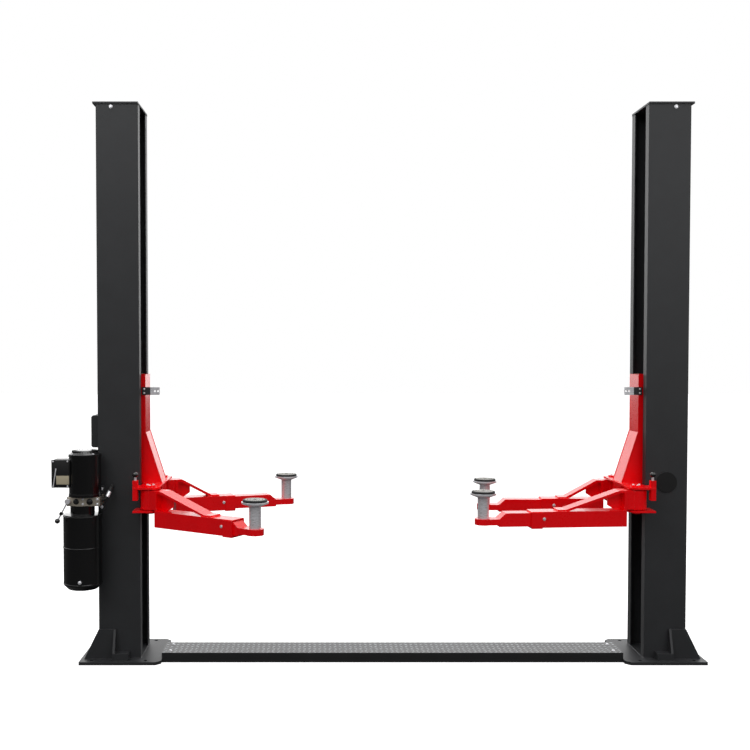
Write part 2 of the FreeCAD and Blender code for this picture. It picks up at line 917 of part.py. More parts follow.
def terminal_box():
    """The box on the motor's side, cut to fit the round shell."""
    body = box(
        "terminal_box_body",
        ("-box_outer", "unit_y - box_half", "box_low"),
        ("motor_x", "unit_y + box_half", "box_high"),
    )
    shell = rod("terminal_box_seat", ("motor_x", "unit_y", "manifold_high"), "motor_radius", "motor_high")
    return cut("terminal_box", body, [shell])


def release_lever():
    """The lowering lever: a hub just clear of the manifold and a leaning bar with its knob."""
    front = "unit_y - manifold_half - seat_gap - lever_hub_deep"
    middle = f"{front} + lever_hub_deep / 2"
    hub = rod("lever_hub_round", ("lever_x", front, "lever_high"), "lever_hub", "lever_hub_deep", "y")
    bar = turned("lever_bar", knobbed("0", "lever_long", "lever_rod", "knob_radius"),
                 ("lever_x", middle, "lever_high"))
    bar.Placement.Rotation = FreeCAD.Rotation(FreeCAD.Vector(0, 1, 0), 1)
    bind(bar, "Placement.Rotation.Angle", "180 + lever_lean")
    return fused("release_lever", [hub, bar])


def latch_hatch():
    """The folded cover over the safety latch on the post's outer side."""
    outer = "post_wide / 2"
    return prism("latch_hatch", [
        (f"-{outer}", "hatch_low"),
        (f"-{outer} - hatch_deep + hatch_bevel", "hatch_low"),
        (f"-{outer} - hatch_deep", "hatch_low + hatch_bevel"),
        (f"-{outer} - hatch_deep", "hatch_high - hatch_bevel"),
        (f"-{outer} - hatch_deep + hatch_bevel", "hatch_high"),
        (f"-{outer}", "hatch_high"),
    ], "y", "-hatch_half", "hatch_half")


subpart("unit_bracket", unit_bracket())
subpart("motor", apart("motor", [motor()]))
subpart("oil_tank", apart("oil_tank", [tank()]))
subpart("manifold", manifold())
subpart("terminal_box", terminal_box())
subpart("release_lever", release_lever())
subpart("latch_hatch", latch_hatch())

doc.recompute()

failed = [made.Name for made in doc.Objects if {"Invalid", "Error"} & set(made.State)]
if failed:
    raise RuntimeError(f"these objects failed: {failed}")
os.makedirs("parts", exist_ok=True)
for made in subparts:
    shape = made.Shape
    if shape.isNull() or not shape.isValid() or not shape.Solids:
        raise RuntimeError(f"{made.Label} has no valid solid")
    shape.exportStep(os.path.join("parts", made.Label + ".step"))
    print(f"{made.Label}: {len(shape.Solids)} solid, {shape.Volume / 1e6:.2f} litres")
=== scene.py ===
"""The looks of a two post car lift: finishes, welds, tread, screws, pads and power unit trim."""

from __future__ import annotations

import json
import logging
import math
from collections.abc import Callable, Iterable, Sequence
from dataclasses import dataclass, field
from enum import Enum

import bmesh
import bpy
from mathutils import Matrix, Vector

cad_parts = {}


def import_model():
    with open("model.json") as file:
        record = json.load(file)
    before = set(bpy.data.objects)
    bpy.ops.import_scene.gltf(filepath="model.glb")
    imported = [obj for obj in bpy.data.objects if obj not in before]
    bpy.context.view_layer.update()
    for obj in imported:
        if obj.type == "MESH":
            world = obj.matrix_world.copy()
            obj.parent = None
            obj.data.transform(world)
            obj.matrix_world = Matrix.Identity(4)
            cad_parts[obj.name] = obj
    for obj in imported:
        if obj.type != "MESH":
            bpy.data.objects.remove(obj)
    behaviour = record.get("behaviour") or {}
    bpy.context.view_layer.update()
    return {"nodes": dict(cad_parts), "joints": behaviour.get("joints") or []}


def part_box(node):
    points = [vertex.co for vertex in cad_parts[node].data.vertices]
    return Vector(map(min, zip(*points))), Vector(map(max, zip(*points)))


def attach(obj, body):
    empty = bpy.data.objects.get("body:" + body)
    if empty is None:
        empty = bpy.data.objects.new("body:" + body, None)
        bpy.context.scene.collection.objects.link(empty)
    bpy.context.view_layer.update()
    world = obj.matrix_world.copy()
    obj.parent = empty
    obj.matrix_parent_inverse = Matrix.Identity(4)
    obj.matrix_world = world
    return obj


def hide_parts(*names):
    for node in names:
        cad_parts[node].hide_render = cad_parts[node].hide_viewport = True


log = logging.getLogger("lift")

MM = 0.001
ON_AXIS = 1e-7
MERGE = 1e-5
Point = Sequence[float]
Profile = Sequence[tuple[float, float]]
Turning = tuple[Profile, Matrix, int]
Nodes = dict[str, bpy.types.Object]
UP, NEAR, FAR, OUTWARD = (0, 0, 1), (0, -1, 0), (0, 1, 0), (-1, 0, 0)
WHITE = (1.0, 1.0, 1.0, 1.0)
# The span that most of a noise texture's values lie in
NOISE_LOW, NOISE_HIGH = 0.3, 0.7
# How far a rounded normal may lean from the flat one before the lighter edge colour shows, and where it shows
# in full; that colour is wear plus a painted edge highlight
EDGE_STARTS, EDGE_FULL = 0.995, 0.8


class Hand(Enum):
    """Which post a sub-assembly belongs to, with the way that leads in towards the other post."""

    LEFT = 1
    RIGHT = -1

    @property
    def word(self) -> str:
        """The word that starts the names of this post's nodes and bodies."""
        return self.name.lower()


class End(Enum):
    """Which end of the car an arm reaches for, with its side of the post along Y."""

    FRONT = -1
    REAR = 1

    @property
    def word(self) -> str:
        """The word that names this end in nodes and bodies."""
        return self.name.lower()


def linear(colour: str) -> tuple[float, float, float, float]:
    """Turn an sRGB hex colour into linear light.

    Args:
        colour: Six hex digits after a hash.

    Returns:
        Red, green, blue and an alpha of one.
    """
    parts = [int(colour[i:i + 2], 16) / 255 for i in (1, 3, 5)]
    red, green, blue = (c / 12.92 if c <= 0.04045 else ((c + 0.055) / 1.055) ** 2.4 for c in parts)
    return red, green, blue, 1.0


def add(
    tree: bpy.types.NodeTree,
    kind: str,
    values: dict[str | int, object] | None = None,
    links: dict[str | int, bpy.types.NodeSocket] | None = None,
    **settings: object,
) -> bpy.types.Node:
    """Add one node to a tree.

    Args:
        tree: The shader or geometry tree.
        kind: Blender's name of the node's type.
        values: Values for input sockets, by name or number.
        links: Output sockets to link to input sockets, by name or number.
        **settings: Properties of the node itself.

    Returns:
        The new node.
    """
    node = tree.nodes.new(kind)
    for name, value in settings.items():
        setattr(node, name, value)
    for socket, value in (values or {}).items():
        node.inputs[socket].default_value = value
    for socket, source in (links or {}).items():
        tree.links.new(source, node.inputs[socket])
    return node


@dataclass(frozen=True)
class Finish:
    """A painted, plated, moulded or cast surface.

    The base colour drifts a little over the piece, a fine grain gives the bump and breaks up
    the gloss, and edges are softened and a little lighter, partly as wear where coats thin and metal
    is handled and partly as a painted edge highlight.
    """

    name: str
    colour: str
    # The edge colour, lighter than the base: wear plus a painted edge highlight
    edge: str
    metallic: float = 0.0
    roughness: float = 0.5
    gloss_drift: float = 0.06
    coat: float = 0.0
    specular: float = 0.5
    grain_mm: float = 1.0
    grain_depth_mm: float = 0.02
    drift: float = 0.06
    stretch: Point = (1.0, 1.0, 1.0)
    patches_per_m: float = 9.0
    coat_roughness: float = 0.08
    edge_mm: float = 1.5
    edge_share: float = 0.5

    def material(self) -> bpy.types.Material:
        """Build the node material.

        Returns:
            The material, named for the finish.
        """
        made = bpy.data.materials.new(self.name)
        made.use_nodes = True
        tree = made.node_tree
        tree.nodes.clear()
        place = add(tree, "ShaderNodeTexCoord").outputs["Object"]
        patches = add(
            tree, "ShaderNodeTexNoise", {"Scale": self.patches_per_m, "Detail": 3.0}, {"Vector": place},
        )
        stretched = add(tree, "ShaderNodeMapping", {"Scale": self.stretch}, {"Vector": place})
        grain = add(
            tree, "ShaderNodeTexNoise", {"Scale": 1 / (self.grain_mm * MM), "Detail": 2.0},
            {"Vector": stretched.outputs["Vector"]},
        )
        rounded = add(tree, "ShaderNodeBevel", {"Radius": self.edge_mm * MM}, samples=4)
        flat = add(tree, "ShaderNodeNewGeometry").outputs["Normal"]
        facing = add(
            tree, "ShaderNodeVectorMath", None, {0: rounded.outputs["Normal"], 1: flat},
            operation="DOT_PRODUCT",
        )
        # Mask for the lighter edge colour, which is wear plus a painted edge highlight
        edge = add(
            tree, "ShaderNodeMapRange",
            {"From Min": EDGE_STARTS, "From Max": EDGE_FULL, "To Min": 0.0, "To Max": self.edge_share},
            {"Value": facing.outputs["Value"]},
        )
        spread = add(
            tree, "ShaderNodeMapRange",
            {
                "From Min": NOISE_LOW,
                "From Max": NOISE_HIGH,
                "To Min": 1 - self.drift,
                "To Max": 1 + self.drift,
            },
            {"Value": patches.outputs["Fac"]},
        )
        shaded = add(
            tree, "ShaderNodeVectorMath", {0: linear(self.colour)[:3]},
            {"Scale": spread.outputs["Result"]}, operation="SCALE",
        )
        colour = add(
            tree, "ShaderNodeMix", {"B": linear(self.edge)},
            {"Factor": edge.outputs["Result"], "A": shaded.outputs["Vector"]}, data_type="RGBA",
        )
        rough = add(
            tree, "ShaderNodeMapRange",
            {
                "From Min": NOISE_LOW,
                "From Max": NOISE_HIGH,
                "To Min": self.roughness - self.gloss_drift,
                "To Max": self.roughness + self.gloss_drift,
            },
            {"Value": grain.outputs["Fac"]},
        )
        bump = add(
            tree, "ShaderNodeBump", {"Distance": self.grain_depth_mm * MM, "Strength": 1.0},
            {"Height": grain.outputs["Fac"], "Normal": rounded.outputs["Normal"]},
        )
        shader = add(
            tree, "ShaderNodeBsdfPrincipled",
            {
                "Metallic": self.metallic,
                "Specular IOR Level": self.specular,
                "Coat Weight": self.coat,
                "Coat Roughness": self.coat_roughness,
            },
            {
                "Base Color": colour.outputs["Result"],
                "Roughness": rough.outputs["Result"],
                "Normal": bump.outputs["Normal"],
            },
        )
        add(tree, "ShaderNodeOutputMaterial", None, {"Surface": shader.outputs["BSDF"]})
        return made


# Each finish's second colour is its lighter edge colour: wear plus a painted edge highlight
# Polyester powder coat with a fine leather texture: near black, dull, with soft broad highlights
TEXTURED_POWDER = Finish(
    "textured black powder coat", "#28292b", "#3a3b3d", roughness=0.5, specular=0.35, grain_mm=1.6,
    grain_depth_mm=0.035, drift=0.08,
)
# Gloss powder coat: strong signal red, a slight orange peel and a clear top
GLOSS_POWDER = Finish(
    "gloss red powder coat", "#f8000c", "#ee1a20", roughness=0.3, coat=0.25, specular=0.2,
    grain_mm=5.0, grain_depth_mm=0.03, drift=0.05,
)
# Satin chassis paint on the cylinder tubes
SATIN_PAINT = Finish("satin black paint", "#1e1f20", "#333436", roughness=0.4, grain_mm=3.0)
# Ground hard chrome: mirror bright with faint rings from the grinding
HARD_CHROME = Finish(
    "ground hard chrome", "#c8cacd", "#e6e8ea", metallic=1.0, roughness=0.12, gloss_drift=0.04,
    grain_mm=1.0, grain_depth_mm=0.003, stretch=(0.02, 0.02, 1.0), drift=0.03,
)
# Bright zinc plate over turned steel: pale, cool, with fine turning rings
ZINC_PLATE = Finish(
    "bright zinc plate", "#dfdfe3", "#f2f3f5", metallic=0.42, roughness=0.3, gloss_drift=0.08,
    grain_mm=1.2, grain_depth_mm=0.004, stretch=(0.05, 0.05, 1.0), drift=0.08,
)
# Natural cast nylon, waxy and off white
NYLON = Finish("natural cast nylon", "#cfcab8", "#dedacb", roughness=0.5, grain_mm=1.5, drift=0.04)
# Black moulded rubber with a faint bloom
RUBBER = Finish(
    "moulded black rubber", "#161616", "#2b2b2b", roughness=0.7, specular=0.35, grain_mm=1.2,
    grain_depth_mm=0.03, drift=0.15,
)
# The tops of the studs, which sills have rubbed pale and chalky
CHALKY_RUBBER = Finish(
    "chalky stud tops", "#d3d2cd", "#e4e3de", roughness=0.8, specular=0.3, grain_mm=1.2,
    grain_depth_mm=0.05, drift=0.2,
)
# Injection moulded ABS with a spark eroded texture
ABS = Finish(
    "moulded black abs", "#0c0c0d", "#232326", roughness=0.45, specular=0.3, grain_mm=0.8,
    grain_depth_mm=0.02,
)
# Phenolic knobs: dense, dark and polished
PHENOLIC = Finish(
    "polished phenolic", "#0f0f10", "#1f1f20", roughness=0.14, grain_mm=3.0, grain_depth_mm=0.004,
)
# Motor and tank enamel: a wet looking black
ENAMEL = Finish(
    "gloss black enamel", "#070708", "#1c1c1e", roughness=0.24, coat=0.2, specular=0.35,
    grain_mm=6.0, grain_depth_mm=0.008, gloss_drift=0.03, drift=0.1,
)
# Sand cast aluminium: grainy, dull and a little warm
CAST_ALUMINIUM = Finish(
    "sand cast aluminium", "#a59d90", "#cfc9bf", metallic=1.0, roughness=0.45, gloss_drift=0.1,
    grain_mm=1.4, grain_depth_mm=0.06, drift=0.1,
)
# Paint on rolled tread plate: dark and satin, dulled by dust
COVER_PAINT = Finish(
    "black paint on tread plate", "#1a1b1c", "#343537", roughness=0.42, specular=0.35, grain_mm=2.0,
    drift=0.12,
)
# The tread's tops, where wheels and shoes have rubbed the paint to grey steel
TREAD_TOPS = Finish(
    "rubbed tread tops", "#8d9093", "#b4b6b8", metallic=0.6, roughness=0.34, grain_mm=2.0, drift=0.15,
)
# Bare sheet label blank: pale anodised foil with nothing on it
BARE_FOIL = Finish("plain anodised foil", "#b9ae94", "#cfc6b0", roughness=0.4, grain_mm=0.8, drift=0.04)


class Workshop:
    """Keeps each finish's material, so that a finish is built once."""

    def __init__(self) -> None:
        """Start with no materials."""
        self.made: dict[str, bpy.types.Material] = {}

    def material(self, finish: Finish) -> bpy.types.Material:
        """The finish's material, built on first use.

        Args:
            finish: What the surface is.

        Returns:
            Its one material.
        """
        if finish.name not in self.made:
            self.made[finish.name] = finish.material()
        return self.made[finish.name]

    def dress(self, target: bpy.types.Object, finish: Finish) -> bpy.types.Object:
        """Give an object one finish all over.

        Args:
            target: The object.
            finish: What its surface is.

        Returns:
            The same object.
        """
        target.data.materials.clear()
        target.data.materials.append(self.material(finish))
        return target


SHOP = Workshop()


def settle(name: str, made: bmesh.types.BMesh, smooth_below: float = 35.0) -> bpy.types.Object:
    """Turn a bmesh into a linked object with merged doubles and outward faces.

    Args:
        name: The object's name.
        made: The bmesh, which is freed.
        smooth_below: Edges that turn less than this many degrees are shaded smooth.

    Returns:
        The new object.
    """
    bmesh.ops.remove_doubles(made, verts=made.verts, dist=MERGE)
    bmesh.ops.recalc_face_normals(made, faces=made.faces)
    for face in made.faces:
        face.smooth = True
    for edge in made.edges:
        edge.smooth = len(edge.link_faces) == 2 and edge.calc_face_angle(0.0) < math.radians(smooth_below)
    mesh = bpy.data.meshes.new(name)
    made.to_mesh(mesh)
    made.free()
    piece = bpy.data.objects.new(name, mesh)
    bpy.context.scene.collection.objects.link(piece)
    return piece


def finished(piece: bpy.types.Object, body: str, finish: Finish | None) -> bpy.types.Object:
    """Dress a piece and let it ride on its body.

    Args:
        piece: The piece, in its place.
        body: The frame's body that carries it.
        finish: Its finish, or None where the piece has its materials already.

    Returns:
        The same piece.
    """
    if finish is not None:
        SHOP.dress(piece, finish)
    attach(piece, body)
    log.info("%s rides on %s, %d faces", piece.name, body, len(piece.data.polygons))
    return piece


def turn_profile(made: bmesh.types.BMesh, profile: Profile, place: Matrix, steps: int) -> None:
    """Turn a closed profile about its own upright axis into a bmesh.

    Args:
        made: The bmesh to add to.
        profile: Radius and height pairs in metres, from the axis back to the axis.
        place: Where the turned form's own axes stand.
        steps: How many facets go round.
    """
    rings: list[list[bmesh.types.BMVert]] = []
    for radius, height in profile:
        if radius < ON_AXIS:
            rings.append([made.verts.new(place @ Vector((0, 0, height)))])
            continue
        angles = (2 * math.pi * i / steps for i in range(steps))
        rings.append([
            made.verts.new(place @ Vector((radius * math.cos(a), radius * math.sin(a), height)))
            for a in angles
        ])
    for low, high in zip(rings, rings[1:]):
        for i in range(steps):
            j = (i + 1) % steps
            corners = [low[i % len(low)], low[j % len(low)], high[j % len(high)], high[i % len(high)]]
            unique = list(dict.fromkeys(corners))
            if len(unique) > 2:
                made.faces.new(unique)


def turned(name: str, turnings: Iterable[Turning]) -> bpy.types.Object:
    """Make one piece of one or more turned forms.

    Args:
        name: The piece's name.
        turnings: Closed profiles, each with its place and how many facets go round.

    Returns:
        The new object.
    """
    made = bmesh.new()
    for profile, place, steps in turnings:
        turn_profile(made, profile, place, steps)
    return settle(name, made)


def ball(radius: float) -> list[tuple[float, float]]:
    """The profile of a ball about its own centre.

    Args:
        radius: The ball's radius.

    Returns:
        Radius and height pairs, from the lower pole to the upper one.
    """
    bends = (math.radians(degrees) for degrees in range(-75, 90, 15))
    rings = ((radius * math.cos(bend), radius * math.sin(bend)) for bend in bends)
    return [(0.0, -radius), *rings, (0.0, radius)]


def block(
    name: str, low: Point, high: Point, round_by: float, place: Matrix | None = None,
) -> bpy.types.Object:
    """Make a block with rounded edges.

    Args:
        name: The piece's name.
        low: The lowest corner.
        high: The highest corner.
        round_by: The edge radius in metres.
        place: Where the block's own axes stand, or None for the frame's.

    Returns:
        The new object.
    """
    middle = (Vector(low) + Vector(high)) / 2
    size = Vector(high) - Vector(low)
    made = bmesh.new()
    bmesh.ops.create_cube(made, size=1.0, matrix=Matrix.Translation(middle) @ Matrix.Diagonal((*size, 1)))
    bmesh.ops.bevel(made, geom=made.edges[:], offset=round_by, segments=3, profile=0.5, affect="EDGES")
    if place is not None:
        bmesh.ops.transform(made, matrix=place, verts=made.verts)
    return settle(name, made)


def facing(direction: Point, at: Point) -> Matrix:
    """A place whose own upright axis points along a direction."""
    return Matrix.Translation(Vector(at)) @ Vector(direction).to_track_quat("Z", "Y").to_matrix().to_4x4()


def seeds(points: Iterable[tuple[Point, Point]]) -> bpy.types.Mesh:
    """Loose points, each with the way that it faces.

    Args:
        points: Pairs of a place and a way out.

    Returns:
        A mesh of vertices with a vector attribute named way.
    """
    pairs = list(points)
    mesh = bpy.data.meshes.new("seeds")
    mesh.from_pydata([tuple(at) for at, _ in pairs], [], [])
    ways = mesh.attributes.new("way", "FLOAT_VECTOR", "POINT")
    for i, (_, way) in enumerate(pairs):
        ways.data[i].vector = way
    return mesh


def wires(lines: Iterable[Sequence[Point]]) -> bpy.types.Mesh:
    """Open polylines as edges of one mesh, for weld seams.

    Args:
        lines: Each a run of places.

    Returns:
        The mesh.
    """
    places: list[tuple[float, ...]] = []
    edges: list[tuple[int, int]] = []
    for line in lines:
        first = len(places)
        places += [tuple(at) for at in line]
        edges += [(first + i, first + i + 1) for i in range(len(line) - 1)]
    mesh = bpy.data.meshes.new("wires")
    mesh.from_pydata(places, edges, [])
    return mesh


# A washer against its screw's head: how wide and how thick it is
WASHER_WIDE, WASHER_THICK = 1.35, 0.3
# A weld ripple is longer along the seam than across it, and flattened; its pitch is in bead radii
RIPPLE_SHAPE, RIPPLE_PITCH = (1.5, 1.0, 0.8), 1.7
# A tread bar's breadth against its length
BAR_BREADTH = 0.32


class Growth:
    """Geometry Nodes trees for what repeats: screws, weld ripples, tread bars and ribs."""

    def __init__(self) -> None:
        """Build the four trees."""
        self.screws = self._tree("screws", {"Radius": 0.008, "Height": 0.006}, self._screw_nodes)
        self.ripples = self._tree("weld ripples", {"Radius": 0.003, "Pitch": 0.005}, self._ripple_nodes)
        self.tread = self._tree(
            "tread bars", {"Long": 1.0, "Wide": 0.2, "Pitch": 0.026, "Bar": 0.011, "Rise": 0.0016},
            self._tread_nodes,
        )
        self.ribs = self._tree(
            "ribs round a circle",
            {"Radius": 0.05, "Count": 24, "Long": 0.01, "Wide": 0.002, "Tall": 0.004}, self._rib_nodes,
        )

    def _tree(
        self, name: str, sizes: dict[str, float],
        fill: Callable[[bpy.types.NodeTree, bpy.types.NodeOutputs], bpy.types.NodeSocket],
    ) -> bpy.types.NodeTree:
        """Build one tree with named inputs, ending in realized instances with a material.

        Args:
            name: The tree's name.
            sizes: Input names with their usual values; a whole number makes an integer input.
            fill: Adds the nodes between, and returns the geometry socket.

        Returns:
            The tree.
        """
        tree = bpy.data.node_groups.new(name, "GeometryNodeTree")
        tree.interface.new_socket("Geometry", in_out="INPUT", socket_type="NodeSocketGeometry")
        for size, usual in sizes.items():
            kind = "NodeSocketInt" if isinstance(usual, int) else "NodeSocketFloat"
            tree.interface.new_socket(size, in_out="INPUT", socket_type=kind).default_value = usual
        tree.interface.new_socket("Finish", in_out="INPUT", socket_type="NodeSocketMaterial")
        tree.interface.new_socket("Geometry", in_out="OUTPUT", socket_type="NodeSocketGeometry")
        start = add(tree, "NodeGroupInput")
        grown = fill(tree, start.outputs)
        real = add(tree, "GeometryNodeRealizeInstances", None, {"Geometry": grown})
        dressed = add(
            tree, "GeometryNodeSetMaterial", None,
            {"Geometry": real.outputs["Geometry"], "Material": start.outputs["Finish"]},
        )
        add(tree, "NodeGroupOutput", None, {"Geometry": dressed.outputs["Geometry"]})
        return tree

    @staticmethod
    def _screw_nodes(tree: bpy.types.NodeTree, given: bpy.types.NodeOutputs) -> bpy.types.NodeSocket:
        """A hexagon head on a washer at each point, along the point's own way out.

        Args:
            tree: The tree to add to.
            given: The tree's inputs.

        Returns:
            The instances' socket.
        """
        washer_wide = add(
            tree, "ShaderNodeMath", {1: WASHER_WIDE}, {0: given["Radius"]}, operation="MULTIPLY",
        )
        washer_high = add(
            tree, "ShaderNodeMath", {1: WASHER_THICK}, {0: given["Height"]}, operation="MULTIPLY",
        )
        lift = add(tree, "ShaderNodeMath", {1: 0.5}, {0: given["Height"]}, operation="MULTIPLY")
        up = add(tree, "ShaderNodeCombineXYZ", None, {"Z": lift.outputs["Value"]})
        head = add(
            tree, "GeometryNodeMeshCylinder", {"Vertices": 6},
            {"Radius": given["Radius"], "Depth": given["Height"]},
        )
        raised = add(
            tree, "GeometryNodeTransform", None,
            {"Geometry": head.outputs["Mesh"], "Translation": up.outputs["Vector"]},
        )
        washer = add(
            tree, "GeometryNodeMeshCylinder", {"Vertices": 20},
            {"Radius": washer_wide.outputs["Value"], "Depth": washer_high.outputs["Value"]},
        )
        both = add(tree, "GeometryNodeJoinGeometry")
        tree.links.new(raised.outputs["Geometry"], both.inputs["Geometry"])
        tree.links.new(washer.outputs["Mesh"], both.inputs["Geometry"])
        way = add(tree, "GeometryNodeInputNamedAttribute", {"Name": "way"}, data_type="FLOAT_VECTOR")
        turn = add(
            tree, "FunctionNodeAlignRotationToVector", None, {"Vector": way.outputs["Attribute"]}, axis="Z",
        )
        placed = add(
            tree, "GeometryNodeInstanceOnPoints", None,
            {
                "Points": given["Geometry"],
                "Instance": both.outputs["Geometry"],
                "Rotation": turn.outputs["Rotation"],
            },
        )
        return placed.outputs["Instances"]

    @staticmethod
    def _ripple_nodes(tree: bpy.types.NodeTree, given: bpy.types.NodeOutputs) -> bpy.types.NodeSocket:
        """Overlapping flattened drops along each edge of the given wire.

        Args:
            tree: The tree to add to.
            given: The tree's inputs.

        Returns:
            The instances' socket.
        """
        line = add(tree, "GeometryNodeMeshToCurve", None, {"Mesh": given["Geometry"]})
        steps = add(
            tree, "GeometryNodeResampleCurve", None,
            {"Curve": line.outputs["Curve"], "Length": given["Pitch"]}, mode="LENGTH",
        )
        drop = add(tree, "GeometryNodeMeshIcoSphere", {"Subdivisions": 2}, {"Radius": given["Radius"]})
        tangent = add(tree, "GeometryNodeInputTangent")
        turn = add(
            tree, "FunctionNodeAlignRotationToVector", None, {"Vector": tangent.outputs["Tangent"]}, axis="X",
        )
        placed = add(
            tree, "GeometryNodeInstanceOnPoints", {"Scale": RIPPLE_SHAPE},
            {
                "Points": steps.outputs["Curve"],
                "Instance": drop.outputs["Mesh"],
                "Rotation": turn.outputs["Rotation"],
            },
        )
        return placed.outputs["Instances"]

    @staticmethod
    def _tread_nodes(tree: bpy.types.NodeTree, given: bpy.types.NodeOutputs) -> bpy.types.NodeSocket:
        """Bars on a square grid, each turned across its neighbours.

        Args:
            tree: The tree to add to.
            given: The tree's inputs.

        Returns:
            The socket of the moved grid.
        """
        counts = {}
        for size in ("Long", "Wide"):
            share = add(
                tree, "ShaderNodeMath", None, {0: given[size], 1: given["Pitch"]},
                operation="DIVIDE",
            )
            counts[size] = add(tree, "ShaderNodeMath", None, {0: share.outputs["Value"]}, operation="FLOOR")
        grid = add(
            tree, "GeometryNodeMeshGrid", None,
            {
                "Size X": given["Long"],
                "Size Y": given["Wide"],
                "Vertices X": counts["Long"].outputs["Value"],
                "Vertices Y": counts["Wide"].outputs["Value"],
            },
        )
        index = add(tree, "GeometryNodeInputIndex").outputs["Index"]
        row = add(
            tree, "ShaderNodeMath", None, {0: index, 1: counts["Wide"].outputs["Value"]}, operation="DIVIDE",
        )
        row = add(tree, "ShaderNodeMath", None, {0: row.outputs["Value"]}, operation="FLOOR")
        column = add(
            tree, "ShaderNodeMath", None, {0: index, 1: counts["Wide"].outputs["Value"]}, operation="MODULO",
        )
        both = add(
            tree, "ShaderNodeMath", None, {0: row.outputs["Value"], 1: column.outputs["Value"]},
            operation="ADD",
        )
        odd = add(tree, "ShaderNodeMath", {1: 2.0}, {0: both.outputs["Value"]}, operation="MODULO")
        angle = add(
            tree, "ShaderNodeMath", {1: math.pi / 2, 2: math.pi / 4}, {0: odd.outputs["Value"]},
            operation="MULTIPLY_ADD",
        )
        turn = add(tree, "ShaderNodeCombineXYZ", None, {"Z": angle.outputs["Value"]})
        bar = add(tree, "GeometryNodeMeshUVSphere", {"Segments": 10, "Rings": 5, "Radius": 1.0})
        thin = add(tree, "ShaderNodeMath", {1: BAR_BREADTH}, {0: given["Bar"]}, operation="MULTIPLY")
        shape = add(
            tree, "ShaderNodeCombineXYZ", None,
            {"X": given["Bar"], "Y": thin.outputs["Value"], "Z": given["Rise"]},
        )
        placed = add(
            tree, "GeometryNodeInstanceOnPoints", None,
            {
                "Points": grid.outputs["Mesh"],
                "Instance": bar.outputs["Mesh"],
                "Rotation": turn.outputs["Vector"],
                "Scale": shape.outputs["Vector"],
            },
        )
        base = add(tree, "GeometryNodeInputPosition").outputs["Position"]
        anchor = add(
            tree, "GeometryNodeSampleIndex", {"Index": 0},
            {"Geometry": given["Geometry"], "Value": base}, data_type="FLOAT_VECTOR", domain="POINT",
        )
        moved = add(
            tree, "GeometryNodeTransform", None,
            {"Geometry": placed.outputs["Instances"], "Translation": anchor.outputs["Value"]},
        )
        return moved.outputs["Geometry"]

    @staticmethod
    def _rib_nodes(tree: bpy.types.NodeTree, given: bpy.types.NodeOutputs) -> bpy.types.NodeSocket:
        """Small blocks round a circle about each given point, along the point's own way.

        Args:
            tree: The tree to add to.
            given: The tree's inputs.

        Returns:
            The instances' socket.
        """
        ring = add(
            tree, "GeometryNodeMeshCircle", None,
            {"Vertices": given["Count"], "Radius": given["Radius"]},
        )
        index = add(tree, "GeometryNodeInputIndex").outputs["Index"]
        step = add(tree, "ShaderNodeMath", {0: 2 * math.pi}, {1: given["Count"]}, operation="DIVIDE")
        angle = add(tree, "ShaderNodeMath", None, {0: index, 1: step.outputs["Value"]}, operation="MULTIPLY")
        turn = add(tree, "ShaderNodeCombineXYZ", None, {"Z": angle.outputs["Value"]})
        shape = add(
            tree, "ShaderNodeCombineXYZ", None,
            {"X": given["Long"], "Y": given["Wide"], "Z": given["Tall"]},
        )
        block = add(tree, "GeometryNodeMeshCube", None, {"Size": shape.outputs["Vector"]})
        around = add(
            tree, "GeometryNodeInstanceOnPoints", None,
            {
                "Points": ring.outputs["Mesh"],
                "Instance": block.outputs["Mesh"],
                "Rotation": turn.outputs["Vector"],
            },
        )
        way = add(tree, "GeometryNodeInputNamedAttribute", {"Name": "way"}, data_type="FLOAT_VECTOR")
        aim = add(
            tree, "FunctionNodeAlignRotationToVector", None, {"Vector": way.outputs["Attribute"]}, axis="Z",
        )
        placed = add(
            tree, "GeometryNodeInstanceOnPoints", None,
            {
                "Points": given["Geometry"],
                "Instance": around.outputs["Instances"],
                "Rotation": aim.outputs["Rotation"],
            },
        )
        return placed.outputs["Instances"]

    @staticmethod
    def grow(
        name: str, tree: bpy.types.NodeTree, finish: Finish, start: bpy.types.Mesh, **sizes: float,
    ) -> bpy.types.Object:
        """Run a tree on seed geometry and keep the result as a plain mesh.

        Args:
            name: The new piece's name.
            tree: Which tree to run.
            finish: The finish of everything it makes.
            start: Points or wires that it starts from.
            **sizes: Values for the tree's named inputs, with the first letter small.

        Returns:
            The piece, with no modifier left.
        """
        piece = bpy.data.objects.new(name, start)
        bpy.context.scene.collection.objects.link(piece)
        modifier = piece.modifiers.new("growth", "NODES")
        modifier.node_group = tree
        inputs = (item for item in tree.interface.items_tree if item.in_out == "INPUT")
        sockets = {item.name: item.identifier for item in inputs}
        for size, value in sizes.items():
            modifier[sockets[size.capitalize()]] = value
        modifier[sockets["Finish"]] = SHOP.material(finish)
        piece.update_tag()
        whole = piece.evaluated_get(bpy.context.evaluated_depsgraph_get())
        grown = bpy.data.meshes.new_from_object(whole)
        piece.modifiers.remove(modifier)
        piece.data = grown
        grown.name = name
        return piece

    def screw(
        self, name: str, body: str, spots: Iterable[tuple[Point, Point]], radius: float, height: float,
    ) -> None:
        """Drive bright screws with washers, which ride on a body.

        Args:
            name: The piece's name.
            body: The frame's body that carries them.
            spots: Pairs of a place and a way out.
            radius: The head's radius over its corners.
            height: The head's height.
        """
        piece = self.grow(name, self.screws, ZINC_PLATE, seeds(spots), radius=radius, height=height)
        finished(piece, body, None)

    def weld(
        self, name: str, body: str, finish: Finish, lines: Iterable[Sequence[Point]],
        radius: float,
    ) -> None:
        """Lay rippled beads along lines, under the paint of what they join.

        Args:
            name: The piece's name.
            body: The frame's body that carries them.
            finish: The paint over them.
            lines: Each a run of places.
            radius: How thick a bead is.
        """
        pitch = radius * RIPPLE_PITCH
        piece = self.grow(name, self.ripples, finish, wires(lines), radius=radius, pitch=pitch)
        finished(piece, body, None)


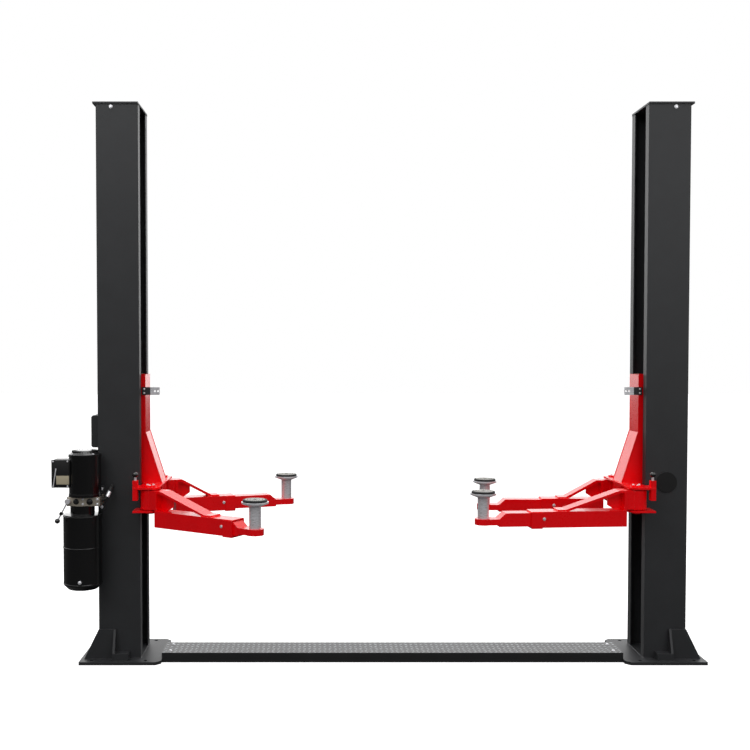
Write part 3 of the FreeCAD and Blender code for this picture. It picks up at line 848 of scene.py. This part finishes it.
@dataclass
class Post:
    """A post with its foot, cap, cylinder and rod: paint, weld seams and cap screws."""

    hand: Hand
    seam: float = 3.0 * MM
    gusset_off_centre: float = -30.0 * MM
    screw_radius: float = 7.0 * MM
    screw_height: float = 4.9 * MM
    screw_off_centre: float = -30.0 * MM
    screw_below_top: float = 14.0 * MM

    def dress(self, nodes: Nodes) -> None:
        """Paint this post's own nodes.

        Args:
            nodes: The frame's nodes.
        """
        for part, finish in (
            ("post", TEXTURED_POWDER), ("cap", TEXTURED_POWDER), ("foot", TEXTURED_POWDER),
            ("cylinder", SATIN_PAINT), ("piston_rod", HARD_CHROME),
        ):
            SHOP.dress(nodes[f"{self.hand.word}_{part}"], finish)

    def build(self, growth: Growth) -> None:
        """Add the seams and the cap's screws.

        Args:
            growth: The trees that make what repeats.
        """
        word, way = self.hand.word, self.hand.value
        low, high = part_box(f"{word}_post")
        foot_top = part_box(f"{word}_foot")[1].z
        centre = (low.x + high.x) / 2
        corners = [(low.x, low.y), (low.x, high.y), (high.x, high.y), (high.x, low.y)]
        gusset_x = centre + way * self.gusset_off_centre
        lines = [
            [(x, y, low.z) for x, y in (*corners, corners[0])],
            [(x, y, high.z) for x, y in corners],
        ]
        for y in (low.y - self.seam, high.y + self.seam):
            lines.append([(gusset_x, y, low.z), (gusset_x, y, foot_top)])
        growth.weld(f"{word}_post_welds", "frame", TEXTURED_POWDER, lines, self.seam)
        screw_x, screw_z = centre + way * self.screw_off_centre, high.z - self.screw_below_top
        spots = [((screw_x, low.y, screw_z), NEAR), ((screw_x, high.y, screw_z), FAR)]
        growth.screw(f"{word}_cap_screws", "frame", spots, self.screw_radius, self.screw_height)


@dataclass
class FloorCover:
    """The tread plate between the feet, with its raised bars and end screws."""

    pitch: float = 26.0 * MM
    bar: float = 11.0 * MM
    rise: float = 1.5 * MM
    margin: float = 12.0 * MM
    screw_inset: float = 40.0 * MM
    screw_radius: float = 6.5 * MM
    screw_height: float = 4.0 * MM

    def dress(self, nodes: Nodes) -> None:
        """Paint the plate."""
        SHOP.dress(nodes["floor_cover"], COVER_PAINT)

    def build(self, growth: Growth) -> None:
        """Raise the tread and drive the end screws.

        Args:
            growth: The trees that make what repeats.
        """
        low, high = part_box("floor_cover")
        middle = (low + high) / 2
        tread = growth.grow(
            "cover_tread", growth.tread, TREAD_TOPS, seeds([((middle.x, middle.y, high.z), UP)]),
            long=high.x - low.x - 2 * self.margin, wide=high.y - low.y - 2 * self.margin,
            pitch=self.pitch, bar=self.bar, rise=self.rise,
        )
        finished(tread, "frame", None)
        spots = [
            ((x, y, high.z), UP)
            for x in (low.x + self.screw_inset, high.x - self.screw_inset)
            for y in (low.y + self.screw_inset, high.y - self.screw_inset)
        ]
        growth.screw("cover_screws", "frame", spots, self.screw_radius, self.screw_height)


@dataclass
class Carriage:
    """A carriage's paint, seams, pin screws, and the knobs of its latch pins."""

    hand: Hand
    seam: float = 3.0 * MM
    slope_top: float = 1163.0 * MM
    nose_half: float = 75.0 * MM
    channel_front: float = 126.0 * MM
    nose_back: float = 113.0 * MM
    nose_front: float = 209.0 * MM
    pin_head: float = 8.0 * MM
    pin_off: float = 200.0 * MM
    pin_screw_ring: float = 17.0 * MM
    pin_screw_radius: float = 5.0 * MM
    pin_screw_height: float = 4.0 * MM
    strap_off: float = 120.0 * MM
    strap_screw_off: float = 10.0 * MM
    strap_screw_radius: float = 4.0 * MM
    strap_screw_height: float = 3.5 * MM
    knob_radius: float = 14.9 * MM
    knob_drop: float = 11.9 * MM

    def dress(self, nodes: Nodes) -> None:
        """Give the carriage's own nodes their finishes.

        Args:
            nodes: The frame's nodes.
        """
        for part, finish in (
            ("carriage", GLOSS_POWDER), ("sliders", NYLON), ("pivot_pins", GLOSS_POWDER),
            ("strap", TEXTURED_POWDER), ("striker", ZINC_PLATE), ("front_latch_pin", ZINC_PLATE),
            ("rear_latch_pin", ZINC_PLATE),
        ):
            SHOP.dress(nodes[f"{self.hand.word}_{part}"], finish)

    def build(self, growth: Growth) -> None:
        """Add the seams, screws and knobs.

        Args:
            growth: The trees that make what repeats.
        """
        word, way = self.hand.word, self.hand.value
        body = f"{word}_carriage"
        pins_low, pins_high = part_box(f"{word}_pivot_pins")
        centre = 0.0 if self.hand is Hand.LEFT else sum(corner.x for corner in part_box("right_post")) / 2
        front, back, nose = (
            centre + way * off for off in (self.channel_front, self.nose_back, self.nose_front)
        )
        top = pins_high.z - self.pin_head
        sides = (-self.nose_half, self.nose_half)
        lines = [[(front, y, self.slope_top), (nose, y, top)] for y in sides]
        lines += [[(back, y, top), (nose, y, top)] for y in sides]
        lines.append([(nose, y, top) for y in sides])
        growth.weld(f"{word}_carriage_welds", body, GLOSS_POWDER, lines, self.seam)
        pin_x = (pins_low.x + pins_high.x) / 2
        spots = [
            ((pin_x + self.pin_screw_ring * math.cos(turn),
              end.value * self.pin_off + self.pin_screw_ring * math.sin(turn), pins_high.z), UP)
            for end in End for turn in (math.radians(30 + 120 * i) for i in range(3))
        ]
        growth.screw(f"{word}_pin_screws", body, spots, self.pin_screw_radius, self.pin_screw_height)
        low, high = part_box(f"{word}_strap")
        strap_x, strap_z = centre + way * self.strap_off, (low.z + high.z) / 2
        spots = [((strap_x, low.y, strap_z + side * self.strap_screw_off), NEAR) for side in (-1, 1)]
        growth.screw(f"{word}_strap_screws", body, spots, self.strap_screw_radius, self.strap_screw_height)
        for end in End:
            self.knob(end)

    def knob(self, end: End) -> None:
        """The polished ball on one latch pin, over the pin's own steel head.

        Args:
            end: Which end's latch pin it sits on.
        """
        pin = f"{self.hand.word}_{end.word}_latch_pin"
        low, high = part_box(pin)
        centre = Vector(((low.x + high.x) / 2, (low.y + high.y) / 2, high.z - self.knob_drop))
        turning = (ball(self.knob_radius), Matrix.Translation(centre), 32)
        made = turned(f"{self.hand.word}_{end.word}_latch_knob", [turning])
        finished(made, pin, PHENOLIC)


@dataclass
class Arm:
    """One telescopic arm: paint, seams, clamp screws, and its screw pad's rubber."""

    hand: Hand
    end: End
    joints: dict[str, dict] = field(repr=False)
    tube_half: float = 45.0 * MM
    tube_high: float = 788.0 * MM
    heel: float = 78.0 * MM
    heel_bead: float = 12.0 * MM
    strut_half: float = 38.0 * MM
    strut_foot: float = 55.0 * MM
    neck_half: float = 40.0 * MM
    neck_low: float = 792.0 * MM
    neck_high: float = 887.0 * MM
    knuckle: float = 48.0 * MM
    seam: float = 2.6 * MM
    clamp_back: float = 64.0 * MM
    clamp_high: float = 752.0 * MM
    clamp_radius: float = 6.0 * MM
    clamp_height: float = 5.0 * MM
    stud_rise: float = 1.5 * MM
    groove: float = 1.6 * MM
    stud_long: float = 9.0 * MM
    stud_wide: float = 6.0 * MM

    @property
    def name(self) -> str:
        """The word pair that starts this arm's node and body names."""
        return f"{self.hand.word}_{self.end.word}"

    @property
    def tube_end(self) -> float:
        """How far the fixed tube reaches from the pivot."""
        return (550.0 if self.end is End.FRONT else 395.0) * MM

    @property
    def strut_end(self) -> float:
        """How far the strut reaches from the pivot."""
        return (415.0 if self.end is End.FRONT else 307.0) * MM

    def place(self) -> Matrix:
        """Where the arm's own axes stand at rest: X out along the tube from the pivot, Z up.

        Returns:
            The place, with the floor as its level.
        """
        pivot = self.joints[f"{self.name}_swing"]["pos_m"]
        out = Vector(self.joints[f"{self.name}_reach"]["axis"]).normalized()
        across = Vector(UP).cross(out)
        turn = Matrix((out, across, Vector(UP))).transposed().to_4x4()
        return Matrix.Translation((pivot[0], pivot[1], 0.0)) @ turn

    def dress(self, nodes: Nodes) -> None:
        """Give the arm's own nodes their finishes.

        Args:
            nodes: The frame's nodes.
        """
        for part, finish in (
            ("arm", GLOSS_POWDER), ("slide", GLOSS_POWDER), ("sleeve", ZINC_PLATE), ("screw_pad", ZINC_PLATE),
        ):
            SHOP.dress(nodes[f"{self.name}_{part}"], finish)

    def build(self, growth: Growth) -> None:
        """Add the seams, screws and rubber.

        Args:
            growth: The trees that make what repeats.
        """
        stand = self.place()
        body, top = f"{self.name}_arm", self.tube_high
        neck_start = math.sqrt(self.knuckle ** 2 - self.neck_half ** 2)
        lines = []
        for side in (-1, 1):
            neck, strut, tube = side * self.neck_half, side * self.strut_half, side * self.tube_half
            lines += [
                [(neck_start, neck, self.neck_low), (neck_start, neck, self.neck_high)],
                [(self.strut_end - self.strut_foot, strut, top), (self.strut_end, strut, top)],
                [(self.heel, tube, top), (self.heel, tube, top + self.heel_bead)],
            ]
        for along, half in ((self.strut_end, self.strut_half), (self.heel, self.tube_half)):
            lines.append([(along, -half, top), (along, half, top)])
        placed = [[stand @ Vector(at) for at in line] for line in lines]
        growth.weld(f"{self.name}_arm_welds", body, GLOSS_POWDER, placed, self.seam)
        clamp, turn = self.tube_end - self.clamp_back, stand.to_3x3()
        spots = [
            (stand @ Vector((clamp, side * self.tube_half, self.clamp_high)), turn @ Vector((0, side, 0)))
            for side in (-1, 1)
        ]
        growth.screw(f"{self.name}_clamp_screws", body, spots, self.clamp_radius, self.clamp_height)
        self.rubber(growth)

    def rubber(self, growth: Growth) -> None:
        """The moulded rubber, ringed and studded, in the dish.

        Args:
            growth: The trees that make what repeats.
        """
        low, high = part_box(f"{self.name}_rubber")
        radius, tall = (high.x - low.x) / 2, high.z - low.z
        centre = Vector(((low.x + high.x) / 2, (low.y + high.y) / 2, low.z))
        top = tall - self.stud_rise
        floor = top - self.groove
        profile = [(0.0, 0.0), (radius - 2 * MM, 0.0), (radius, 2 * MM), (radius, tall * 0.45)]
        profile += [(radius - 1.2 * MM, tall * 0.5), (radius, tall * 0.55), (radius, top - 3 * MM)]
        profile += [(radius - 0.9 * MM, top - 0.9 * MM), (radius - 3 * MM, top)]
        for edge in (radius * 0.86, radius * 0.62, radius * 0.4):
            profile += [(edge, top), (edge - 1 * MM, floor), (edge - 3 * MM, floor), (edge - 4 * MM, top)]
        profile += [(radius * 0.16, top), (radius * 0.13, top - 3 * MM), (0.0, top - 3 * MM)]
        pad = turned(f"{self.name}_pad_rubber", [(profile, Matrix.Translation(centre), 64)])
        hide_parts(f"{self.name}_rubber")
        finished(pad, f"{self.name}_pad", RUBBER)
        for number, (share, count) in enumerate(((0.74, 30), (0.51, 20), (0.28, 12))):
            studs = growth.grow(
                f"{self.name}_pad_studs_{number}", growth.ribs, CHALKY_RUBBER,
                seeds([(centre + top * Vector(UP), UP)]), radius=share * radius, count=count,
                long=self.stud_long, wide=self.stud_wide, tall=2 * self.stud_rise,
            )
            finished(studs, f"{self.name}_pad", None)


@dataclass
class PowerUnit:
    """The motor, valve block and tank on the main post, with their trim."""

    band_high: float = 16.0 * MM
    band_proud: float = 2.2 * MM
    upper_band: float = 34.0 * MM
    vent_long: float = 26.0 * MM
    vent_drop: float = 5.0 * MM
    tie_inset: float = 6.0 * MM
    tie_drop: float = 16.0 * MM
    lid_thick: float = 5.0 * MM
    lid_wide: float = 86.0 * MM
    lid_rim: float = 2.5 * MM
    strip_half: float = 42.0 * MM
    strip_lean: float = 9.0
    tank_shell: float = 1.5 * MM
    plug_high: float = 440.0 * MM
    hatch_screw_inset: float = 24.0 * MM
    bracket_screw_inset: float = 16.0 * MM
    hose_radius: float = 8.0 * MM
    ferrule_radius: float = 9.5 * MM
    knob_radius: float = 13.0 * MM

    def dress(self, nodes: Nodes) -> None:
        """Give the unit's own nodes their finishes.

        Args:
            nodes: The frame's nodes.
        """
        for node, finish in (
            ("motor", ENAMEL), ("oil_tank", ENAMEL), ("manifold", CAST_ALUMINIUM), ("terminal_box", ABS),
            ("release_lever", ZINC_PLATE), ("unit_bracket", TEXTURED_POWDER),
            ("latch_hatch", TEXTURED_POWDER), ("port_plug", ABS),
        ):
            SHOP.dress(nodes[node], finish)

    def build(self, growth: Growth) -> None:
        """Add the trim of every part of the unit.

        Args:
            growth: The trees that make what repeats.
        """
        self.motor_trim(growth)
        self.box_trim(growth)
        self.block_trim(growth)
        self.tank_trim()
        self.hatch_trim(growth)
        self.hose()
        self.lever_knob()

    def motor_trim(self, growth: Growth) -> None:
        """End bands, cooling ribs and the cap's tie screws.

        Args:
            growth: The trees that make what repeats.
        """
        low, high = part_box("motor")
        axis = Vector(((low.x + high.x) / 2, (low.y + high.y) / 2, 0.0))
        radius = (high.x - low.x) / 2
        proud, sunk, round_by = radius + self.band_proud, radius - 1 * MM, 1 * MM
        bands = []
        for start in (low.z, high.z - self.upper_band):
            end = start + self.band_high
            profile = [(sunk, start), (proud, start + round_by), (proud, end - round_by), (sunk, end)]
            bands.append(([*profile, profile[0]], Matrix.Translation(axis), 72))
        finished(turned("motor_bands", bands), "frame", ENAMEL)
        vents_at = axis + (high.z - self.vent_drop) * Vector(UP)
        vents = growth.grow(
            "motor_vent_ribs", growth.ribs, ENAMEL, seeds([(vents_at, UP)]), radius=radius * 0.66,
            count=28, long=self.vent_long, wide=3.0 * MM, tall=8.0 * MM,
        )
        finished(vents, "frame", None)
        ring, level = radius - self.tie_inset, high.z - self.tie_drop
        spots = [
            (axis + Vector((ring * math.cos(turn), ring * math.sin(turn), level)), UP)
            for turn in (math.radians(degrees) for degrees in (45, 135, 225, 315))
        ]
        growth.screw("motor_tie_screws", "frame", spots, 4.5 * MM, 4.0 * MM)

    def box_trim(self, growth: Growth) -> None:
        """The terminal box's lid, with screws, a bare foil and a bright slanted strip.

        Args:
            growth: The trees that make what repeats.
        """
        low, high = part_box("terminal_box")
        rim, face, end = self.lid_rim, low.y - self.lid_thick, low.x + self.lid_wide
        lid = block(
            "terminal_box_lid", (low.x - rim, face, low.z - rim), (end, low.y + 1 * MM, high.z + rim),
            2.0 * MM,
        )
        finished(lid, "frame", ABS)
        spots = [
            ((x, face, z), NEAR)
            for x in (low.x + 6 * MM, end - 8 * MM) for z in (low.z + 5 * MM, high.z - 5 * MM)
        ]
        growth.screw("terminal_lid_screws", "frame", spots, 3.2 * MM, 2.4 * MM)
        foil = block(
            "terminal_box_foil", (low.x + 22 * MM, face - 0.8 * MM, low.z + 14 * MM),
            (end - 1 * MM, face + 0.4 * MM, low.z + 57 * MM), 0.3 * MM,
        )
        finished(foil, "frame", BARE_FOIL)
        tilt, half = Matrix.Rotation(math.radians(self.strip_lean), 4, "Y"), self.strip_half
        strip = block(
            "terminal_box_strap", (-2.6 * MM, -1.6 * MM, -half), (2.6 * MM, 0.4 * MM, half), 0.7 * MM,
            Matrix.Translation((low.x + 14 * MM, face, high.z - 82 * MM)) @ tilt,
        )
        finished(strip, "frame", ZINC_PLATE)

    def block_trim(self, growth: Growth) -> None:
        """The valve block's two dark port caps and its screws.

        Args:
            growth: The trees that make what repeats.
        """
        low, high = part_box("manifold")
        caps = []
        for along, radius, long in ((46 * MM, 14 * MM, 9 * MM), (113 * MM, 15 * MM, 11 * MM)):
            neck = radius * 0.8
            profile = [
                (0.0, -2 * MM), (radius, -2 * MM), (radius, long * 0.35), (neck, long * 0.4),
                (neck, long - 2 * MM), (radius * 0.6, long), (0.0, long),
            ]
            caps.append((profile, facing(NEAR, (low.x + along, low.y, (low.z + high.z) / 2)), 24))
        finished(turned("manifold_cartridges", caps), "frame", ABS)
        spots = [
            ((x, low.y, z), NEAR)
            for x in (low.x + 79 * MM, high.x - 12 * MM) for z in (low.z + 10 * MM, high.z - 10 * MM)
        ]
        growth.screw("manifold_screws", "frame", spots, 4.5 * MM, 4.0 * MM)

    def tank_trim(self) -> None:
        """The tank's rolled seams and its drain plug."""
        low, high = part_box("oil_tank")
        axis = Vector(((low.x + high.x) / 2, (low.y + high.y) / 2, 0.0))
        radius = (high.x - low.x) / 2 - self.tank_shell
        sunk, seams = radius - 1 * MM, []
        for level, proud in ((604.0 * MM, 2.0 * MM), (760.0 * MM, 2.2 * MM), (423.0 * MM, 1.2 * MM)):
            profile = [
                (sunk, level - 4 * MM), (radius + proud, level - 2 * MM), (radius + proud, level + 2 * MM),
                (sunk, level + 4 * MM), (sunk, level - 4 * MM),
            ]
            seams.append((profile, Matrix.Translation(axis), 72))
        finished(turned("tank_seams", seams), "frame", ENAMEL)
        place = facing((-0.05, -1, 0), (axis.x + 4 * MM, axis.y - radius + 1 * MM, self.plug_high))
        profile = [
            (0.0, -3 * MM), (9 * MM, -3 * MM), (9 * MM, 2 * MM), (6.5 * MM, 3 * MM), (6.5 * MM, 8 * MM),
            (5 * MM, 9 * MM), (0.0, 9 * MM),
        ]
        finished(turned("tank_drain_plug", [(profile, place, 24)]), "frame", ZINC_PLATE)

    def hatch_trim(self, growth: Growth) -> None:
        """Two screws on the latch hatch, and two on the bracket.

        Args:
            growth: The trees that make what repeats.
        """
        low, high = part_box("latch_hatch")
        inset, middle = self.hatch_screw_inset, (low.y + high.y) / 2
        spots = [((low.x, middle, z), OUTWARD) for z in (low.z + inset, high.z - inset)]
        low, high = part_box("unit_bracket")
        inset, middle = self.bracket_screw_inset, (low.x + high.x) / 2
        spots += [((middle, low.y, z), NEAR) for z in (low.z + inset, high.z - inset)]
        growth.screw("hatch_screws", "frame", spots, 6.0 * MM, 4.5 * MM)

    def hose(self) -> None:
        """The short pressure hose from the valve block's end into the post, with its ferrule."""
        low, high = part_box("manifold")
        start = Vector((high.x, (low.y + high.y) / 2, (low.z + high.z) / 2))
        steps = ((-2, 0, 0), (14, 0, 4), (26, 4, 18), (34, 14, 38), (38, 32, 56), (38, 56, 64), (38, 76, 64))
        bends = [start + Vector(step) * MM for step in steps]
        for name, runs, radius, finish, slot in (
            ("unit_hose", range(6), self.hose_radius, RUBBER, "pad_rubber"),
            ("unit_hose_ferrule", range(2, 3), self.ferrule_radius, ZINC_PLATE, "zinc_plate"),
        ):
            lengths, over = [], 0.3 * radius
            for i in runs:
                run = bends[i + 1] - bends[i]
                end = run.length + over
                profile = [(0.0, -over), (radius, -over), (radius, end), (0.0, end)]
                lengths.append((profile, facing(run, bends[i]), 20))
            finished(turned(name, lengths), "frame", finish)

    def lever_knob(self) -> None:
        """The polished ball and the dark boss on the lowering lever, over its steel."""
        low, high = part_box("release_lever")
        centre = Vector((low.x + 12.0 * MM, (low.y + high.y) / 2, low.z + 11.1 * MM))
        boss = [(0.0, -9 * MM), (8 * MM, -9 * MM), (9 * MM, -8 * MM)]
        boss += [(radius, -height) for radius, height in reversed(boss)]
        hub = centre + Vector((20 * MM, 0, 37 * MM))
        knob = turned("release_lever_knob", [
            (boss, facing(FAR, hub), 24), (ball(self.knob_radius), Matrix.Translation(centre), 32),
        ])
        finished(knob, "release_lever", PHENOLIC)


@dataclass
class Studio:
    """Floor, soft light and the camera at the photograph's angle."""

    lens_px: float = 1040.0
    frame_px: float = 750.0
    principal_px: float = 317.6
    shift_down_px: float = 5.8
    eye: Point = (1.007, -5.394, 1.6)
    pitch_down: float = 1.85
    sensor_mm: float = 36.0
    soft_light: float = 0.45
    front_sheen: float = 0.06
    back_sheen: float = 2.1
    floor_pale: str = "#f4f4f4"
    floor_glow: float = 0.75
    floor_bounce: str = "#6c6c6c"
    floor_half: float = 30.0
    floor_drop: float = 1.0 * MM
    aimed_at: Point = (1.39, 0.0, 1.2)

    def build(self) -> None:
        """Make the floor, the world, the lamps and the camera."""
        self.floor()
        self.world()
        for name, at, size, power in (
            ("key", (-1.6, -4.6, 5.2), 3.0, 90.0),
            ("fill", (4.6, -4.0, 3.2), 3.0, 40.0),
            ("top", (1.4, 0.6, 6.0), 4.0, 150.0),
        ):
            self.lamp(name, at, size, power)
        self.camera()

    def floor(self) -> None:
        """A wide plain floor, pale to the camera and dim in reflections, as black stays black."""
        made = bmesh.new()
        bmesh.ops.create_grid(made, x_segments=1, y_segments=1, size=self.floor_half)
        floor = settle("floor", made)
        floor.location.z = -self.floor_drop
        paint = bpy.data.materials.new("plain pale floor")
        paint.use_nodes = True
        tree = paint.node_tree
        tree.nodes.clear()
        pale = add(
            tree, "ShaderNodeBsdfPrincipled", {"Base Color": linear(self.floor_pale), "Roughness": 0.9},
        )
        dim = add(tree, "ShaderNodeBsdfDiffuse", {"Color": linear(self.floor_bounce)})
        glow = add(tree, "ShaderNodeEmission", {"Color": WHITE, "Strength": self.floor_glow})
        lit = add(tree, "ShaderNodeAddShader", None, {0: pale.outputs["BSDF"], 1: glow.outputs["Emission"]})
        seen = add(tree, "ShaderNodeLightPath").outputs["Is Camera Ray"]
        both = add(
            tree, "ShaderNodeMixShader", None, {0: seen, 1: dim.outputs["BSDF"], 2: lit.outputs["Shader"]},
        )
        add(tree, "ShaderNodeOutputMaterial", None, {"Surface": both.outputs["Shader"]})
        floor.data.materials.append(paint)

    def world(self) -> None:
        """White to the camera, even soft light, and reflections that brighten upwards and behind.

        The dark front keeps the near faces deep, and tops and slopes take a pale sheen.
        """
        world = bpy.data.worlds.new("studio")
        bpy.context.scene.world = world
        world.use_nodes = True
        tree = world.node_tree
        tree.nodes.clear()
        place = add(tree, "ShaderNodeTexCoord").outputs["Generated"]
        way = add(tree, "ShaderNodeSeparateXYZ", None, {"Vector": place})
        away = add(
            tree, "ShaderNodeMath", None, {0: way.outputs["Z"], 1: way.outputs["Y"]}, operation="MAXIMUM",
        )
        sheen = add(
            tree, "ShaderNodeMapRange",
            {"From Min": 0.0, "From Max": 0.6, "To Min": self.front_sheen, "To Max": self.back_sheen},
            {"Value": away.outputs["Value"]},
        )
        path = add(tree, "ShaderNodeLightPath")
        strength = add(
            tree, "ShaderNodeMix", {"A": self.soft_light},
            {"Factor": path.outputs["Is Glossy Ray"], "B": sheen.outputs["Result"]}, data_type="FLOAT",
        )
        light = add(
            tree, "ShaderNodeBackground", {"Color": WHITE},
            {"Strength": strength.outputs["Result"]},
        )
        white = add(tree, "ShaderNodeBackground", {"Color": WHITE, "Strength": 1.0})
        mixed = add(
            tree, "ShaderNodeMixShader", None,
            {
                0: path.outputs["Is Camera Ray"],
                1: light.outputs["Background"],
                2: white.outputs["Background"],
            },
        )
        add(tree, "ShaderNodeOutputWorld", None, {"Surface": mixed.outputs["Shader"]})

    def lamp(self, name: str, at: Point, size: float, power: float) -> None:
        """Hang one square soft lamp, aimed at the middle of the lift.

        Args:
            name: The lamp's name.
            at: Where it hangs.
            size: Its edge in metres.
            power: Its power in watts.
        """
        light = bpy.data.lights.new(name, "AREA")
        light.size = size
        light.energy = power
        lamp = bpy.data.objects.new(name, light)
        bpy.context.scene.collection.objects.link(lamp)
        lamp.location = at
        aim = Vector(self.aimed_at) - Vector(at)
        lamp.rotation_euler = aim.to_track_quat("-Z", "Y").to_euler()

    def camera(self) -> None:
        """Stand the camera where the photograph was taken from."""
        data = bpy.data.cameras.new("camera")
        data.sensor_width = self.sensor_mm
        data.lens = self.lens_px / self.frame_px * self.sensor_mm
        data.shift_x = (self.frame_px / 2 - self.principal_px) / self.frame_px
        data.shift_y = self.shift_down_px / self.frame_px
        data.clip_start, data.clip_end = 0.1, 100.0
        camera = bpy.data.objects.new("camera", data)
        bpy.context.scene.collection.objects.link(camera)
        camera.location = self.eye
        camera.rotation_euler = (math.radians(90.0 - self.pitch_down), 0.0, 0.0)
        bpy.context.scene.camera = camera


def main() -> None:
    """Load the frame, dress it, and add every piece in order."""
    logging.basicConfig(level=logging.INFO, format="%(message)s")
    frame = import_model()
    bpy.context.scene.view_settings.view_transform = "Standard"
    Studio().build()
    growth = Growth()
    nodes = frame["nodes"]
    joints = {joint["name"]: joint for joint in frame["joints"]}
    parts: list[FloorCover | Post | Carriage | Arm | PowerUnit] = [FloorCover()]
    for hand in Hand:
        parts += [Post(hand), Carriage(hand), *(Arm(hand, end, joints) for end in End)]
    for part in (*parts, PowerUnit()):
        part.dress(nodes)
        part.build(growth)


if __name__ == "__main__":
    main()
